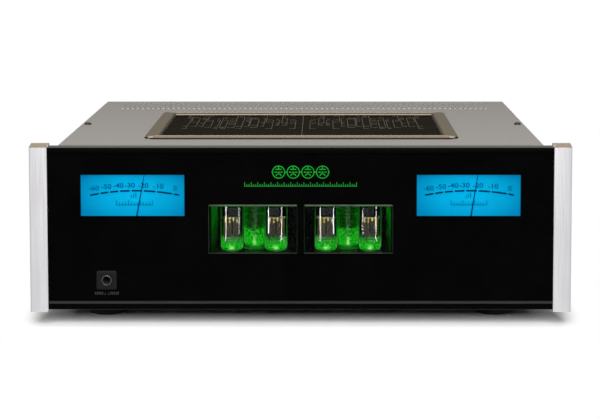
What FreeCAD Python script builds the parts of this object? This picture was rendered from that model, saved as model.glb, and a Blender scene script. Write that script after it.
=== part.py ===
import FreeCAD, Part

# Stereo tube preamplifier: glass front between end caps, two meters, two tube bays,
# vented cover with a raised display plate, rear panel with its connectors.
# Frame: +X to the right seen from the front, +Y to the back, +Z up, millimetres.
# The origin is on the ground, under the middle of the whole part.

import math
import os
from types import SimpleNamespace

import Sketcher
from FreeCAD import Placement, Rotation, Vector

os.makedirs("parts", exist_ok=True)
doc = FreeCAD.newDocument("tube_preamplifier")

SIZES = {
    # front
    "front_width": 444.5,
    "panel_height": 138.1,
    "ground_clearance": 14.3,
    "cap_width": 15.0,
    "cap_depth": 16.0,
    "cap_round": 1.2,
    "cap_groove_depth": 3.0,
    "trim_drop": 2.0,
    "trim_inset": 0.5,
    "trim_web": 2.1,
    "top_lip_height": 4.6,
    "trim_round": 0.8,
    "bottom_trim_lift": 1.9,
    "bottom_lip_height": 4.6,
    "bottom_lip_bevel": 2.2,
    "glass_recess": 3.6,
    "glass_thickness": 3.0,
    "subpanel_thickness": 3.0,
    "edge_gap": 0.3,
    # meters, heights above the panel's lower edge
    "meter_end_margin": 41.55,
    "meter_tube_gap": 19.5,
    "meter_window_height": 34.4,
    "meter_window_middle": 95.2,
    "meter_opening_margin": 1.6,
    "housing_side_margin": 6.35,
    "housing_depth": 34.4,
    "housing_wall": 1.6,
    "housing_top_margin": 6.6,
    "dial_thickness": 1.0,
    "dial_setback": 3.4,
    "dial_height": 42.0,
    "pivot_drop": 15.0,
    "left_pointer_angle": 10.6,
    "right_pointer_angle": 9.1,
    "needle_length": 51.0,
    "needle_root_width": 1.6,
    "needle_tip_width": 0.5,
    "needle_thickness": 0.5,
    "needle_tail": 9.0,
    "needle_tail_width": 3.0,
    "pointer_setback": 1.0,
    "hub_radius": 3.0,
    "hub_length": 1.6,
    "staff_radius": 1.0,
    "staff_length": 8.4,
    "staff_clearance": 0.05,
    "staff_end_gap": 1.0,
    "hub_gap": 0.4,
    "bearing_radius": 4.0,
    "bearing_length": 2.4,
    "magnet_width": 30.0,
    "magnet_height": 26.0,
    "magnet_length": 18.0,
    "magnet_clearance": 5.4,
    "movement_foot_width": 16.0,
    "movement_foot_height": 20.0,
    "lamp_board_margin": 1.35,
    "lamp_board_height": 30.0,
    "lamp_board_middle": 96.5,
    "lamp_end_margin": 16.0,
    "lamp_size": 3.2,
    "lamp_height": 1.6,
    "lamp_row": 10.0,
    # lit mark between the meters
    "mark_window_width": 96.0,
    "mark_window_low": 102.5,
    "mark_window_high": 122.5,
    "mark_board_margin": 4.0,
    # tube windows and bays
    "tube_window_width": 73.2,
    "tube_window_inner": 2.7,
    "tube_window_low": 47.6,
    "tube_window_high": 88.6,
    "bay_wall": 1.0,
    "bay_inset": 0.8,
    "bay_depth": 100.4,
    "bay_floor": 43.0,
    "bay_floor_thickness": 1.5,
    "bay_top": 98.0,
    "bay_lip_drop": 11.9,
    "tube_pitch": 36.6,
    "front_tube_setback": 22.4,
    "rear_tube_setback": 44.4,
    "tube_radius": 10.1,
    "tube_crown": 44.0,
    "tube_crown_bevel": 4.4,
    "tube_shoulder_bevel": 2.8,
    "tube_tip_radius": 2.2,
    "tube_height": 48.5,
    "tube_wall": 0.9,
    "tube_base_wall": 1.8,
    "mica_radius": 8.6,
    "mica_thickness": 0.5,
    "mica_lift": 8.0,
    "anode_width": 7.0,
    "anode_depth": 8.4,
    "anode_height": 17.5,
    "anode_gap": 1.4,
    "electrode_post": 1.2,
    "electrode_post_pitch": 8.0,
    "socket_radius": 10.4,
    "socket_rise": 0.8,
    "socket_clearance": 0.4,
    "seat_gap": 0.3,
    "tube_board_drop": 11.4,
    "tube_board_front": 6.0,
    "tube_board_depth": 76.0,
    "board_thickness": 1.6,
    "bay_side_gap": 4.0,
    # headphone jack
    "jack_inset": 62.55,
    "jack_height": 26.0,
    "jack_bezel_width": 16.8,
    "jack_bezel_height": 15.8,
    "jack_bezel_thickness": 1.4,
    "jack_bush_radius": 4.2,
    "jack_bush_rise": 1.6,
    "jack_bore_radius": 3.25,
    "jack_bore_length": 32.0,
    "jack_body_size": 18.0,
    "jack_body_length": 26.0,
    "jack_clearance": 0.3,
    # chassis
    "cover_inset": 20.9,
    "cover_depth": 381.0,
    "cover_thickness": 1.2,
    "cover_bend": 1.6,
    "cover_side_lift": 5.0,
    "vent_count": 72.0,
    "vent_side_margin": 23.85,
    "vent_width": 2.4,
    "vent_length": 60.0,
    "vent_rear_margin": 17.0,
    "pan_lift": 4.0,
    "pan_thickness": 1.2,
    "pan_side_gap": 0.2,
    "pan_flange_height": 14.0,
    "pan_flange_margin": 4.0,
    "wall_opening_gap": 1.0,
    "floor_vent_count": 12.0,
    "floor_vent_pitch": 10.0,
    "floor_vent_width": 4.0,
    "floor_vent_length": 46.0,
    "floor_vent_setback": 46.0,
    "rear_inset": 2.0,
    "rear_thickness": 1.6,
    "shield_thickness": 1.2,
    # display plate on the cover
    "frame_width": 266.2,
    "frame_depth": 212.0,
    "frame_setback": 44.0,
    "frame_border": 12.0,
    "frame_height": 2.3,
    "frame_corner": 9.0,
    "frame_edge_bevel": 1.0,
    "display_gap": 0.4,
    "display_drop": 0.9,
    # feet and screws
    "foot_inset": 35.35,
    "foot_setback": 58.0,
    "foot_pitch_y": 273.0,
    "foot_radius": 19.5,
    "foot_screw_radius": 2.3,
    "foot_screw_length": 9.0,
    "foot_screw_head_radius": 4.2,
    "foot_screw_head_height": 2.6,
    "screw_radius": 1.6,
    "screw_clearance": 0.2,
    "screw_head_radius": 3.1,
    "screw_head_height": 2.0,
    "screw_length": 6.0,
    "top_screw_inset": 6.65,
    "top_screw_setback": 161.5,
    "bracket_thickness": 1.2,
    "bracket_flange": 12.0,
    "bracket_length": 24.0,
    # line boards
    "line_board_inner": 14.0,
    "line_board_side_margin": 19.35,
    "line_board_depth": 214.0,
    "line_board_setback": 134.0,
    "standoff_height": 8.0,
    "standoff_radius": 3.2,
    "standoff_margin": 8.0,
    "capacitor_radius": 11.0,
    "capacitor_height": 34.0,
    "capacitor_pitch": 34.0,
    "relay_width": 10.0,
    "relay_depth": 20.0,
    "relay_height": 9.6,
    "relay_pitch": 18.0,
    # rear connectors, heights above the panel's lower edge
    "phono_row_height": 58.0,
    "phono_input_offset": 54.0,
    "phono_output_offset": 152.0,
    "phono_nut_radius": 6.4,
    "phono_nut_thickness": 1.8,
    "phono_body_radius": 4.4,
    "phono_sleeve_radius": 4.15,
    "phono_sleeve_length": 10.0,
    "phono_bore_radius": 1.7,
    "phono_bore_depth": 8.0,
    "phono_body_length": 9.0,
    "panel_hole_clearance": 0.3,
    "xlr_row_height": 96.0,
    "xlr_first": 54.0,
    "xlr_pitch": 46.0,
    "xlr_output": 152.0,
    "xlr_flange_width": 26.0,
    "xlr_flange_height": 31.0,
    "xlr_flange_thickness": 2.0,
    "xlr_body_width": 22.6,
    "xlr_body_top": 14.9,
    "xlr_body_length": 20.0,
    "xlr_groove_outer": 9.6,
    "xlr_groove_inner": 7.9,
    "xlr_groove_depth": 11.0,
    "xlr_cup_radius": 8.2,
    "xlr_cup_depth": 14.0,
    "xlr_pin_radius": 1.2,
    "xlr_pin_circle": 3.7,
    "xlr_pin_length": 12.5,
    "latch_width": 7.8,
    "latch_height": 2.6,
    "latch_lift": 12.2,
    "latch_length": 6.6,
    "latch_rise": 2.0,
    "latch_travel": 1.8,
    "latch_gap": 0.3,
    "latch_stop_gap": 0.6,
    "control_height": 24.0,
    "control_offset": 84.0,
    "control_flange_width": 53.0,
    "control_flange_height": 12.4,
    "control_flange_thickness": 1.0,
    "control_shell_width": 38.4,
    "control_shell_height": 8.0,
    "control_shell_taper": 1.4,
    "control_shell_length": 6.0,
    "control_body_length": 9.0,
    "control_post_pitch": 47.0,
    "control_post_radius": 2.6,
    "control_post_length": 5.0,
    "ground_height": 24.0,
    "ground_washer_radius": 6.0,
    "ground_washer_thickness": 2.0,
    "ground_stud_inside": 5.0,
    "ground_stud_radius": 2.0,
    "post_reach": 16.0,
    "thumb_nut_radius": 6.0,
    "thumb_nut_length": 8.0,
    "thumb_nut_gap": 1.2,
    "thumb_nut_clearance": 0.05,
}

sheet = doc.addObject("Spreadsheet::Sheet", "sizes")
for row, (alias, number) in enumerate(SIZES.items(), start=1):
    sheet.set(f"A{row}", alias)
    sheet.set(f"B{row}", str(number))
    sheet.setAlias(f"B{row}", alias)
doc.recompute()


class Size:
    """A length that keeps its number and the sheet expression that it is worked out by."""

    def __init__(self, number, text):
        self.number = number
        self.text = text

    def joined(self, sign, other, result):
        return Size(result, f"({self.text} {sign} {as_size(other).text})")

    def __add__(self, other):
        return self.joined("+", other, self.number + as_size(other).number)

    def __sub__(self, other):
        return self.joined("-", other, self.number - as_size(other).number)

    def __mul__(self, other):
        return self.joined("*", other, self.number * as_size(other).number)

    def __truediv__(self, other):
        return self.joined("/", other, self.number / as_size(other).number)

    def __neg__(self):
        return Size(-self.number, f"(-{self.text})")

    def __radd__(self, other):
        return as_size(other) + self

    def __rsub__(self, other):
        return as_size(other) - self

    def __rmul__(self, other):
        return as_size(other) * self


def as_size(value):
    return value if isinstance(value, Size) else Size(float(value), str(value))


dim = SimpleNamespace(
    **{alias: Size(float(sheet.get(alias)), f"sizes.{alias}") for alias in SIZES}
)
SIDES = {"left": -1, "right": 1}
DIGITS = 6
pieces = []


# Levels and faces that several pieces share

rear_face = dim.cap_depth + dim.cover_depth - dim.rear_inset
overall_depth = rear_face + dim.post_reach
half_front = dim.front_width / 2
cap_inner = half_front - dim.cap_width
cover_half = half_front - dim.cover_inset
jack_x = dim.jack_inset - half_front


def back(setback):
    """The Y of a plane that lies the given distance behind the end caps' front faces."""
    return setback - overall_depth / 2


panel_bottom = dim.ground_clearance
panel_top = panel_bottom + dim.panel_height
trim_top = panel_top - dim.trim_drop
trim_bottom = panel_bottom + dim.bottom_trim_lift
glass_front = back(dim.glass_recess)
glass_back = glass_front + dim.glass_thickness
subpanel_back = glass_back + dim.subpanel_thickness
trim_front = back(dim.trim_inset)
trim_back = back(dim.cap_depth)
glass_low = trim_bottom + dim.trim_web + dim.edge_gap
glass_high = trim_top - dim.trim_web - dim.edge_gap
cover_top = trim_top
cover_under = cover_top - dim.cover_thickness
pan_under = panel_bottom + dim.pan_lift
pan_floor = pan_under + dim.pan_thickness
pan_half = cover_half - dim.cover_thickness - dim.pan_side_gap
wall_back = trim_back + dim.pan_thickness
rear_outer = back(rear_face)
rear_inner = rear_outer - dim.rear_thickness
flange_inner = rear_inner - dim.pan_thickness
window_outer = dim.tube_window_inner + dim.tube_window_width
meter_inner = window_outer + dim.meter_tube_gap
meter_outer = half_front - dim.meter_end_margin
meter_half = (meter_outer - meter_inner) / 2
meter_offset = (meter_outer + meter_inner) / 2
housing_half = meter_half + dim.housing_side_margin
bay_inner = dim.tube_window_inner + dim.bay_inset
bay_outer = window_outer - dim.bay_inset
bay_middle = (bay_inner + bay_outer) / 2
bay_floor_top = panel_bottom + dim.bay_floor + dim.bay_floor_thickness
socket_top = bay_floor_top + dim.socket_rise
tube_seat = socket_top + dim.seat_gap
tube_board_top = panel_bottom + dim.bay_floor - dim.tube_board_drop
tube_board_under = tube_board_top - dim.board_thickness
line_board_under = pan_floor + dim.standoff_height
line_board_top = line_board_under + dim.board_thickness
pivot_height = panel_bottom + dim.meter_window_middle - dim.meter_window_height / 2 - dim.pivot_drop
housing_top = (
    panel_bottom + dim.meter_window_middle + dim.meter_window_height / 2 + dim.housing_top_margin
)
housing_bottom = pivot_height - dim.magnet_height / 2 - dim.magnet_clearance - dim.housing_wall
housing_rear = subpanel_back + dim.housing_depth - dim.housing_wall
dial_front = subpanel_back + dim.dial_setback


# Drawing helpers

def bind(item, prop, value):
    item.setExpression(prop, as_size(value).text)


def place(item, x=0, y=0, z=0):
    for axis, value in zip("xyz", (x, y, z)):
        bind(item, f"Placement.Base.{axis}", value)
    return item


def keep(item, label):
    """Names a finished piece and puts it on the list of what is written out."""
    item.Label = label
    pieces.append(item)
    return item


def box(name, x, y, z):
    """A block between two values on each axis."""
    item = doc.addObject("Part::Box", name)
    for prop, (low, high) in zip(("Length", "Width", "Height"), (x, y, z)):
        bind(item, prop, high - low)
    return place(item, x[0], y[0], z[0])


def rod(name, radius, length, x, y, z, along="z"):
    """A cylinder that starts at a point and runs along +Z, or along +Y to the back."""
    item = doc.addObject("Part::Cylinder", name)
    bind(item, "Radius", radius)
    bind(item, "Height", length)
    if along == "y":
        item.Placement.Rotation = Rotation(Vector(1, 0, 0), -90)
    return place(item, x, y, z)


def prism(name, sides, radius, height, x, y, z, along="z"):
    item = doc.addObject("Part::Prism", name)
    item.Polygon = sides
    bind(item, "Circumradius", radius)
    bind(item, "Height", height)
    if along == "y":
        item.Placement.Rotation = Rotation(Vector(1, 0, 0), -90)
    return place(item, x, y, z)


def fuse(name, items):
    item = doc.addObject("Part::MultiFuse", name)
    item.Shapes = items
    item.Refine = True
    return item


def cut(name, base, tools):
    item = doc.addObject("Part::Cut", name)
    item.Base = base
    item.Tool = tools[0] if len(tools) == 1 else fuse(name + "_tools", tools)
    return item


def mirrored(name, source):
    """The same piece on the other side of the middle plane."""
    item = doc.addObject("Part::Mirroring", name)
    item.Source = source
    item.Normal = Vector(1, 0, 0)
    return item


def new_body(name):
    return doc.addObject("PartDesign::Body", name)


def sketch_on(body, plane, offset=0):
    """An empty sketch on one of the body's origin planes, moved along the plane's normal."""
    support = [part for part in body.Origin.OriginFeatures if part.Role == plane][0]
    sketch = body.newObject("Sketcher::SketchObject", body.Name + "_sketch")
    sketch.AttachmentSupport = [(support, "")]
    sketch.MapMode = "FlatFace"
    bind(sketch, "AttachmentOffset.Base.z", offset)
    return sketch


def fix_point(sketch, geometry, vertex, x, y):
    """Ties a sketch point's two coordinates to the sheet."""
    for kind, value in (("DistanceX", x), ("DistanceY", y)):
        size = as_size(value)
        index = sketch.addConstraint(
            Sketcher.Constraint(kind, -1, 1, geometry, vertex, size.number)
        )
        bind(sketch, f"Constraints[{index}]", size)


def circle(sketch, x, y, radius):
    centre = Vector(as_size(x).number, as_size(y).number, 0)
    ring = sketch.addGeometry(Part.Circle(centre, Vector(0, 0, 1), as_size(radius).number))
    fix_point(sketch, ring, 3, x, y)
    index = sketch.addConstraint(Sketcher.Constraint("Radius", ring, as_size(radius).number))
    bind(sketch, f"Constraints[{index}]", radius)


def outline(sketch, corners):
    """One closed outline through corners given as (x, y) or, for a rounded one, (x, y, radius)."""
    count = len(corners)
    points = [Vector(as_size(c[0]).number, as_size(c[1]).number, 0) for c in corners]
    entries = []
    exits = []
    arcs = []
    for i, corner in enumerate(corners):
        point = points[i]
        if len(corner) == 2:
            entries.append(point)
            exits.append(point)
            arcs.append(None)
            continue
        radius = as_size(corner[2]).number
        to_last = (points[i - 1] - point).normalize()
        to_next = (points[(i + 1) % count] - point).normalize()
        half = to_last.getAngle(to_next) / 2
        entries.append(point + to_last * (radius / math.tan(half)))
        exits.append(point + to_next * (radius / math.tan(half)))
        centre = point + (to_last + to_next).normalize() * (radius / math.sin(half))
        turns_left = to_last.cross(to_next).z < 0
        ends = (entries[i], exits[i]) if turns_left else (exits[i], entries[i])
        angles = [math.atan2(end.y - centre.y, end.x - centre.x) for end in ends]
        ring = Part.Circle(centre, Vector(0, 0, 1), radius)
        arcs.append((Part.ArcOfCircle(ring, angles[0], angles[1]), turns_left))
    lines = [
        sketch.addGeometry(Part.LineSegment(exits[i], entries[(i + 1) % count]))
        for i in range(count)
    ]
    for i, corner in enumerate(corners):
        before = lines[i - 1]
        after = lines[i]
        if arcs[i] is None:
            sketch.addConstraint(Sketcher.Constraint("Coincident", before, 2, after, 1))
            fix_point(sketch, after, 1, corner[0], corner[1])
            continue
        arc, turns_left = arcs[i]
        curve = sketch.addGeometry(arc)
        first, last = (1, 2) if turns_left else (2, 1)
        sketch.addConstraint(Sketcher.Constraint("Tangent", before, 2, curve, first))
        sketch.addConstraint(Sketcher.Constraint("Tangent", curve, last, after, 1))
        apex = sketch.addGeometry(Part.Point(points[i]), True)
        sketch.addConstraint(Sketcher.Constraint("PointOnObject", apex, 1, before))
        sketch.addConstraint(Sketcher.Constraint("PointOnObject", apex, 1, after))
        fix_point(sketch, apex, 1, corner[0], corner[1])
        index = sketch.addConstraint(
            Sketcher.Constraint("Radius", curve, as_size(corner[2]).number)
        )
        bind(sketch, f"Constraints[{index}]", corner[2])


def rectangle(sketch, x, y, corner=None):
    """A rectangle between two values on each axis, with rounded corners if a radius is given."""
    ends = ((x[0], y[0]), (x[1], y[0]), (x[1], y[1]), (x[0], y[1]))
    outline(sketch, [end if corner is None else (*end, corner) for end in ends])


def around(x, y, radius, angle):
    """The point on a circle at an angle in radians from its right hand end."""
    return x + radius * round(math.cos(angle), DIGITS), y + radius * round(math.sin(angle), DIGITS)


def regular(sketch, x, y, radius, sides):
    """A regular polygon with its first corner on the right, like the corner of a prism."""
    turns = [2 * math.pi * step / sides for step in range(sides)]
    outline(sketch, [around(x, y, radius, angle) for angle in turns])


def pad(body, sketch, length, reverse=False):
    feature = body.newObject("PartDesign::Pad", body.Name + "_pad")
    feature.Profile = sketch
    feature.Reversed = reverse
    bind(feature, "Length", length)
    sketch.Visibility = False
    body.Tip = feature
    return feature


def pocket(body, sketch, length, reverse=False):
    feature = body.newObject("PartDesign::Pocket", body.Name + "_pocket")
    feature.Profile = sketch
    feature.Reversed = reverse
    bind(feature, "Length", length)
    body.Tip = feature
    return feature


def chamfer(body, feature, level, size):
    """Bevels every edge of a feature that lies flat at one height."""
    doc.recompute()
    height = as_size(level).number
    edges = [
        f"Edge{number}"
        for number, edge in enumerate(feature.Shape.Edges, start=1)
        if abs(edge.BoundBox.ZMin - height) < 0.01 and abs(edge.BoundBox.ZMax - height) < 0.01
    ]
    bevel = body.newObject("PartDesign::Chamfer", body.Name + "_bevel")
    bevel.Base = (feature, edges)
    bind(bevel, "Size", size)
    body.Tip = bevel
    return bevel


def row_of(body, feature, plane_axis, count, pitch):
    """Repeats a pocket along one axis of its own sketch."""
    pattern = body.newObject("PartDesign::LinearPattern", body.Name + "_pattern")
    pattern.Originals = [feature]
    pattern.Direction = (feature.Profile[0], [plane_axis])
    bind(pattern, "Length", (count - 1) * pitch)
    pattern.Occurrences = int(round(count.number))
    body.Tip = pattern
    return pattern


def group(label, source, places):
    """Identical loose solids that share one node, copied from one drawn piece."""
    doc.recompute()
    copies = []
    for spot in places:
        copy = source.Shape.copy()
        copy.Placement = spot.multiply(copy.Placement)
        copies.append(copy)
    item = doc.addObject("Part::Feature", label)
    item.Shape = Part.makeCompound(copies)
    return keep(item, label)


def spot(x, y, z, rotation=None):
    numbers = [as_size(value).number for value in (x, y, z)]
    return Placement(Vector(*numbers), rotation or Rotation())


# Front

def end_caps():
    """Extruded bars with softened front edges and a groove that takes the glass and sub-panel."""
    body = new_body("right_end_cap")
    sketch = sketch_on(body, "XY_Plane", panel_bottom)
    front = back(0)
    groove_bottom = cap_inner + dim.cap_groove_depth
    outline(sketch, [
        (cap_inner, front, dim.cap_round),
        (half_front, front, dim.cap_round),
        (half_front, trim_back),
        (cap_inner, trim_back),
        (cap_inner, subpanel_back),
        (groove_bottom, subpanel_back),
        (groove_bottom, glass_front),
        (cap_inner, glass_front),
    ])
    pad(body, sketch, dim.panel_height)
    keep(body, "right_end_cap")
    keep(mirrored("left_end_cap", body), "left_end_cap")


def trims():
    """Angle-shaped extrusions above and below the glass, each with a lip in front of it."""
    lip_low = trim_top - dim.top_lip_height
    top = new_body("top_trim")
    sketch = sketch_on(top, "YZ_Plane", -cap_inner)
    outline(sketch, [
        (trim_front, lip_low),
        (glass_front, lip_low),
        (glass_front, trim_top - dim.trim_web),
        (trim_back, trim_top - dim.trim_web),
        (trim_back, trim_top),
        (trim_front, trim_top, dim.trim_round),
    ])
    pad(top, sketch, cap_inner * 2)
    keep(top, "top_trim")

    lip_high = trim_bottom + dim.bottom_lip_height
    bottom = new_body("bottom_trim")
    sketch = sketch_on(bottom, "YZ_Plane", -cap_inner)
    outline(sketch, [
        (trim_front, trim_bottom, dim.trim_round),
        (trim_back, trim_bottom),
        (trim_back, trim_bottom + dim.trim_web),
        (glass_front, trim_bottom + dim.trim_web),
        (glass_front, lip_high + dim.bottom_lip_bevel),
        (trim_front, lip_high),
    ])
    pad(bottom, sketch, cap_inner * 2)
    keep(bottom, "bottom_trim")


def front_plates():
    """The glass, whole but for the jack, and the sub-panel that carries everything behind it."""
    half_glass = cap_inner + dim.cap_groove_depth - dim.edge_gap
    jack_hole = dim.jack_bush_radius + dim.jack_clearance
    jack_z = panel_bottom + dim.jack_height

    glass = new_body("front_glass")
    sketch = sketch_on(glass, "XZ_Plane", -glass_front)
    rectangle(sketch, (-half_glass, half_glass), (glass_low, glass_high))
    circle(sketch, jack_x, jack_z, jack_hole)
    pad(glass, sketch, dim.glass_thickness, reverse=True)
    keep(glass, "front_glass")

    plate = new_body("front_subpanel")
    sketch = sketch_on(plate, "XZ_Plane", -glass_back)
    rectangle(sketch, (-half_glass, half_glass), (glass_low, glass_high))
    circle(sketch, jack_x, jack_z, jack_hole)
    half_opening = meter_half + dim.meter_opening_margin
    half_height = dim.meter_window_height / 2 + dim.meter_opening_margin
    meter_z = panel_bottom + dim.meter_window_middle
    for side in SIDES.values():
        meter_x = side * meter_offset
        rectangle(
            sketch,
            (meter_x - half_opening, meter_x + half_opening),
            (meter_z - half_height, meter_z + half_height),
        )
        low, high = (dim.tube_window_inner, window_outer)
        edges = (low, high) if side > 0 else (-high, -low)
        rectangle(
            sketch,
            edges,
            (panel_bottom + dim.tube_window_low, panel_bottom + dim.tube_window_high),
        )
    half_mark = dim.mark_window_width / 2
    rectangle(
        sketch,
        (-half_mark, half_mark),
        (panel_bottom + dim.mark_window_low, panel_bottom + dim.mark_window_high),
    )
    pad(plate, sketch, dim.subpanel_thickness, reverse=True)
    keep(plate, "front_subpanel")


def mark_light_board():
    """The lamp board that closes the lit mark's opening from behind."""
    half = dim.mark_window_width / 2 + dim.mark_board_margin
    board = box(
        "mark_board_plate",
        (-half, half),
        (subpanel_back, subpanel_back + dim.board_thickness),
        (
            panel_bottom + dim.mark_window_low - dim.mark_board_margin,
            panel_bottom + dim.mark_window_high + dim.mark_board_margin,
        ),
    )
    keep(board, "mark_light_board")


def headphone_jack():
    jack_z = panel_bottom + dim.jack_height
    half_width = dim.jack_bezel_width / 2
    half_height = dim.jack_bezel_height / 2
    bezel = new_body("headphone_bezel")
    sketch = sketch_on(bezel, "XZ_Plane", -glass_front)
    rectangle(
        sketch,
        (jack_x - half_width, jack_x + half_width),
        (jack_z - half_height, jack_z + half_height),
    )
    circle(sketch, jack_x, jack_z, dim.jack_bush_radius + dim.jack_clearance)
    pad(bezel, sketch, dim.jack_bezel_thickness)
    keep(bezel, "headphone_bezel")

    mouth = glass_front - dim.jack_bush_rise
    half_body = dim.jack_body_size / 2
    block = box(
        "jack_block",
        (jack_x - half_body, jack_x + half_body),
        (subpanel_back, subpanel_back + dim.jack_body_length),
        (jack_z - half_body, jack_z + half_body),
    )
    bush = rod(
        "jack_bush", dim.jack_bush_radius, subpanel_back - mouth + half_body,
        jack_x, mouth, jack_z, "y",
    )
    bore = rod(
        "jack_bore", dim.jack_bore_radius, dim.jack_bore_length,
        jack_x, mouth, jack_z, "y",
    )
    keep(cut("headphone_jack", fuse("jack_outside", [block, bush]), [bore]), "headphone_jack")


# Meters

def meter(side_name, side):
    """A tub-shaped housing with a dial, a lamp board, a moving-coil movement and its pointer."""
    x = side * meter_offset
    half = housing_half
    wall = dim.housing_wall

    housing = new_body(side_name + "_meter_housing")
    sketch = sketch_on(housing, "XZ_Plane", -subpanel_back)
    rectangle(sketch, (x - half, x + half), (housing_bottom, housing_top))
    pad(housing, sketch, dim.housing_depth, reverse=True)
    sketch = sketch_on(housing, "XZ_Plane", -subpanel_back)
    rectangle(
        sketch,
        (x - half + wall, x + half - wall),
        (housing_bottom + wall, housing_top - wall),
    )
    pocket(housing, sketch, dim.housing_depth - wall)
    keep(housing, side_name + "_meter_housing")

    gap = dim.edge_gap
    dial_top = housing_top - wall - gap
    dial = box(
        side_name + "_dial_plate",
        (x - half + wall + gap, x + half - wall - gap),
        (dial_front, dial_front + dim.dial_thickness),
        (dial_top - dim.dial_height, dial_top),
    )
    keep(dial, side_name + "_meter_dial")

    half_board = meter_half + dim.lamp_board_margin
    lamp_pitch = half_board - dim.lamp_end_margin
    board_z = panel_bottom + dim.lamp_board_middle
    board_front = housing_rear - dim.board_thickness
    lamps = [
        box(
            f"{side_name}_lamp_{row}_{column}",
            (
                x + column * lamp_pitch - dim.lamp_size / 2,
                x + column * lamp_pitch + dim.lamp_size / 2,
            ),
            (board_front - dim.lamp_height, board_front),
            (
                board_z + row * dim.lamp_row / 2 - dim.lamp_size / 2,
                board_z + row * dim.lamp_row / 2 + dim.lamp_size / 2,
            ),
        )
        for row in (-1, 1)
        for column in (-1, 0, 1)
    ]
    board = box(
        side_name + "_lamp_plate",
        (x - half_board, x + half_board),
        (board_front, housing_rear),
        (board_z - dim.lamp_board_height / 2, board_z + dim.lamp_board_height / 2),
    )
    keep(fuse(side_name + "_lamps", [board, *lamps]), side_name + "_meter_lamp_board")

    movement(side_name, x)
    pointer(side_name, x)


def movement(side_name, x):
    """The magnet block with its front bearing, on a foot that stands on the housing's back wall."""
    hub_back = subpanel_back + dim.pointer_setback + dim.hub_length
    bearing_front = hub_back + dim.hub_gap
    magnet_front = bearing_front + dim.bearing_length
    magnet_back = magnet_front + dim.magnet_length
    half_width = dim.magnet_width / 2
    half_foot = dim.movement_foot_width / 2
    magnet = box(
        side_name + "_magnet",
        (x - half_width, x + half_width),
        (magnet_front, magnet_back),
        (pivot_height - dim.magnet_height / 2, pivot_height + dim.magnet_height / 2),
    )
    foot = box(
        side_name + "_magnet_foot",
        (x - half_foot, x + half_foot),
        (magnet_back, housing_rear),
        (
            pivot_height - dim.movement_foot_height / 2,
            pivot_height + dim.movement_foot_height / 2,
        ),
    )
    bearing = prism(
        side_name + "_bearing", 8, dim.bearing_radius, dim.bearing_length,
        x, bearing_front, pivot_height, "y",
    )
    bore = rod(
        side_name + "_bearing_bore", dim.staff_radius + dim.staff_clearance,
        dim.staff_length - dim.hub_gap + dim.staff_end_gap, x, bearing_front, pivot_height, "y",
    )
    block = fuse(side_name + "_magnet_block", [magnet, foot, bearing])
    keep(cut(side_name + "_movement", block, [bore]), side_name + "_meter_movement")


def pointer(side_name, x):
    """A tapered needle with a counterweight tail, on a hub whose staff turns in the movement."""
    body = new_body(side_name + "_pointer")
    hub_back = dim.pointer_setback + dim.hub_length
    sketch = sketch_on(body, "XZ_Plane", -hub_back)
    regular(sketch, 0, 0, dim.hub_radius, 12)
    pad(body, sketch, dim.hub_length)
    sketch = sketch_on(body, "XZ_Plane", -hub_back)
    circle(sketch, 0, 0, dim.staff_radius)
    pad(body, sketch, dim.staff_length, reverse=True)
    needle_back = dim.pointer_setback + (dim.hub_length + dim.needle_thickness) / 2
    sketch = sketch_on(body, "XZ_Plane", -needle_back)
    root = dim.needle_root_width / 2
    tip = dim.needle_tip_width / 2
    tail = dim.needle_tail_width / 2
    outline(sketch, [
        (-tail, -dim.needle_tail),
        (tail, -dim.needle_tail),
        (root, 0),
        (tip, dim.needle_length),
        (-tip, dim.needle_length),
        (-root, 0),
    ])
    pad(body, sketch, dim.needle_thickness)
    lean = SIZES[side_name + "_pointer_angle"]
    body.Placement.Rotation = Rotation(Vector(0, 1, 0), lean)
    place(body, x, subpanel_back, pivot_height)
    keep(body, side_name + "_meter_pointer")


# Tube bays

def tube_spots():
    """Each tube's centre: a front pair in each bay and one behind, between them."""
    spots = []
    for side in SIDES.values():
        middle = side * bay_middle
        front = subpanel_back + dim.front_tube_setback
        spots.append((middle - dim.tube_pitch / 2, front))
        spots.append((middle + dim.tube_pitch / 2, front))
        spots.append((middle, subpanel_back + dim.rear_tube_setback))
    return spots


def tube_bays():
    """Sheet-metal trays open to the window and to the top, with a hole for each tube."""
    wall = dim.bay_wall
    floor_under = panel_bottom + dim.bay_floor
    top = panel_bottom + dim.bay_top
    bay_back = subpanel_back + dim.bay_depth
    outside = box(
        "bay_outside",
        (bay_inner - wall, bay_outer + wall),
        (subpanel_back, bay_back),
        (floor_under, top),
    )
    inside = box(
        "bay_inside",
        (bay_inner, bay_outer),
        (subpanel_back + wall, bay_back - wall),
        (bay_floor_top, top + wall),
    )
    mouth = box(
        "bay_mouth",
        (bay_inner, bay_outer),
        (subpanel_back - wall, subpanel_back + wall * 2),
        (bay_floor_top, top - dim.bay_lip_drop),
    )
    holes = [
        prism(
            f"bay_hole_{index}", 12, dim.socket_radius + dim.socket_clearance,
            dim.bay_floor_thickness + wall * 2, x, y, floor_under - wall,
        )
        for index, (x, y) in enumerate(tube_spots()[3:])
    ]
    bay = cut("right_bay_sheet", outside, [inside, mouth, *holes])
    keep(bay, "right_tube_bay")
    keep(mirrored("left_bay_sheet", bay), "left_tube_bay")


def tube_boards():
    """The printed board below each bay, which carries the sockets."""
    front = subpanel_back + dim.tube_board_front
    board = box(
        "right_tube_plate",
        (bay_inner, bay_outer),
        (wall_back + dim.edge_gap, front + dim.tube_board_depth),
        (tube_board_under, tube_board_top),
    )
    keep(board, "right_tube_board")
    keep(mirrored("left_tube_plate", board), "left_tube_board")


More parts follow.
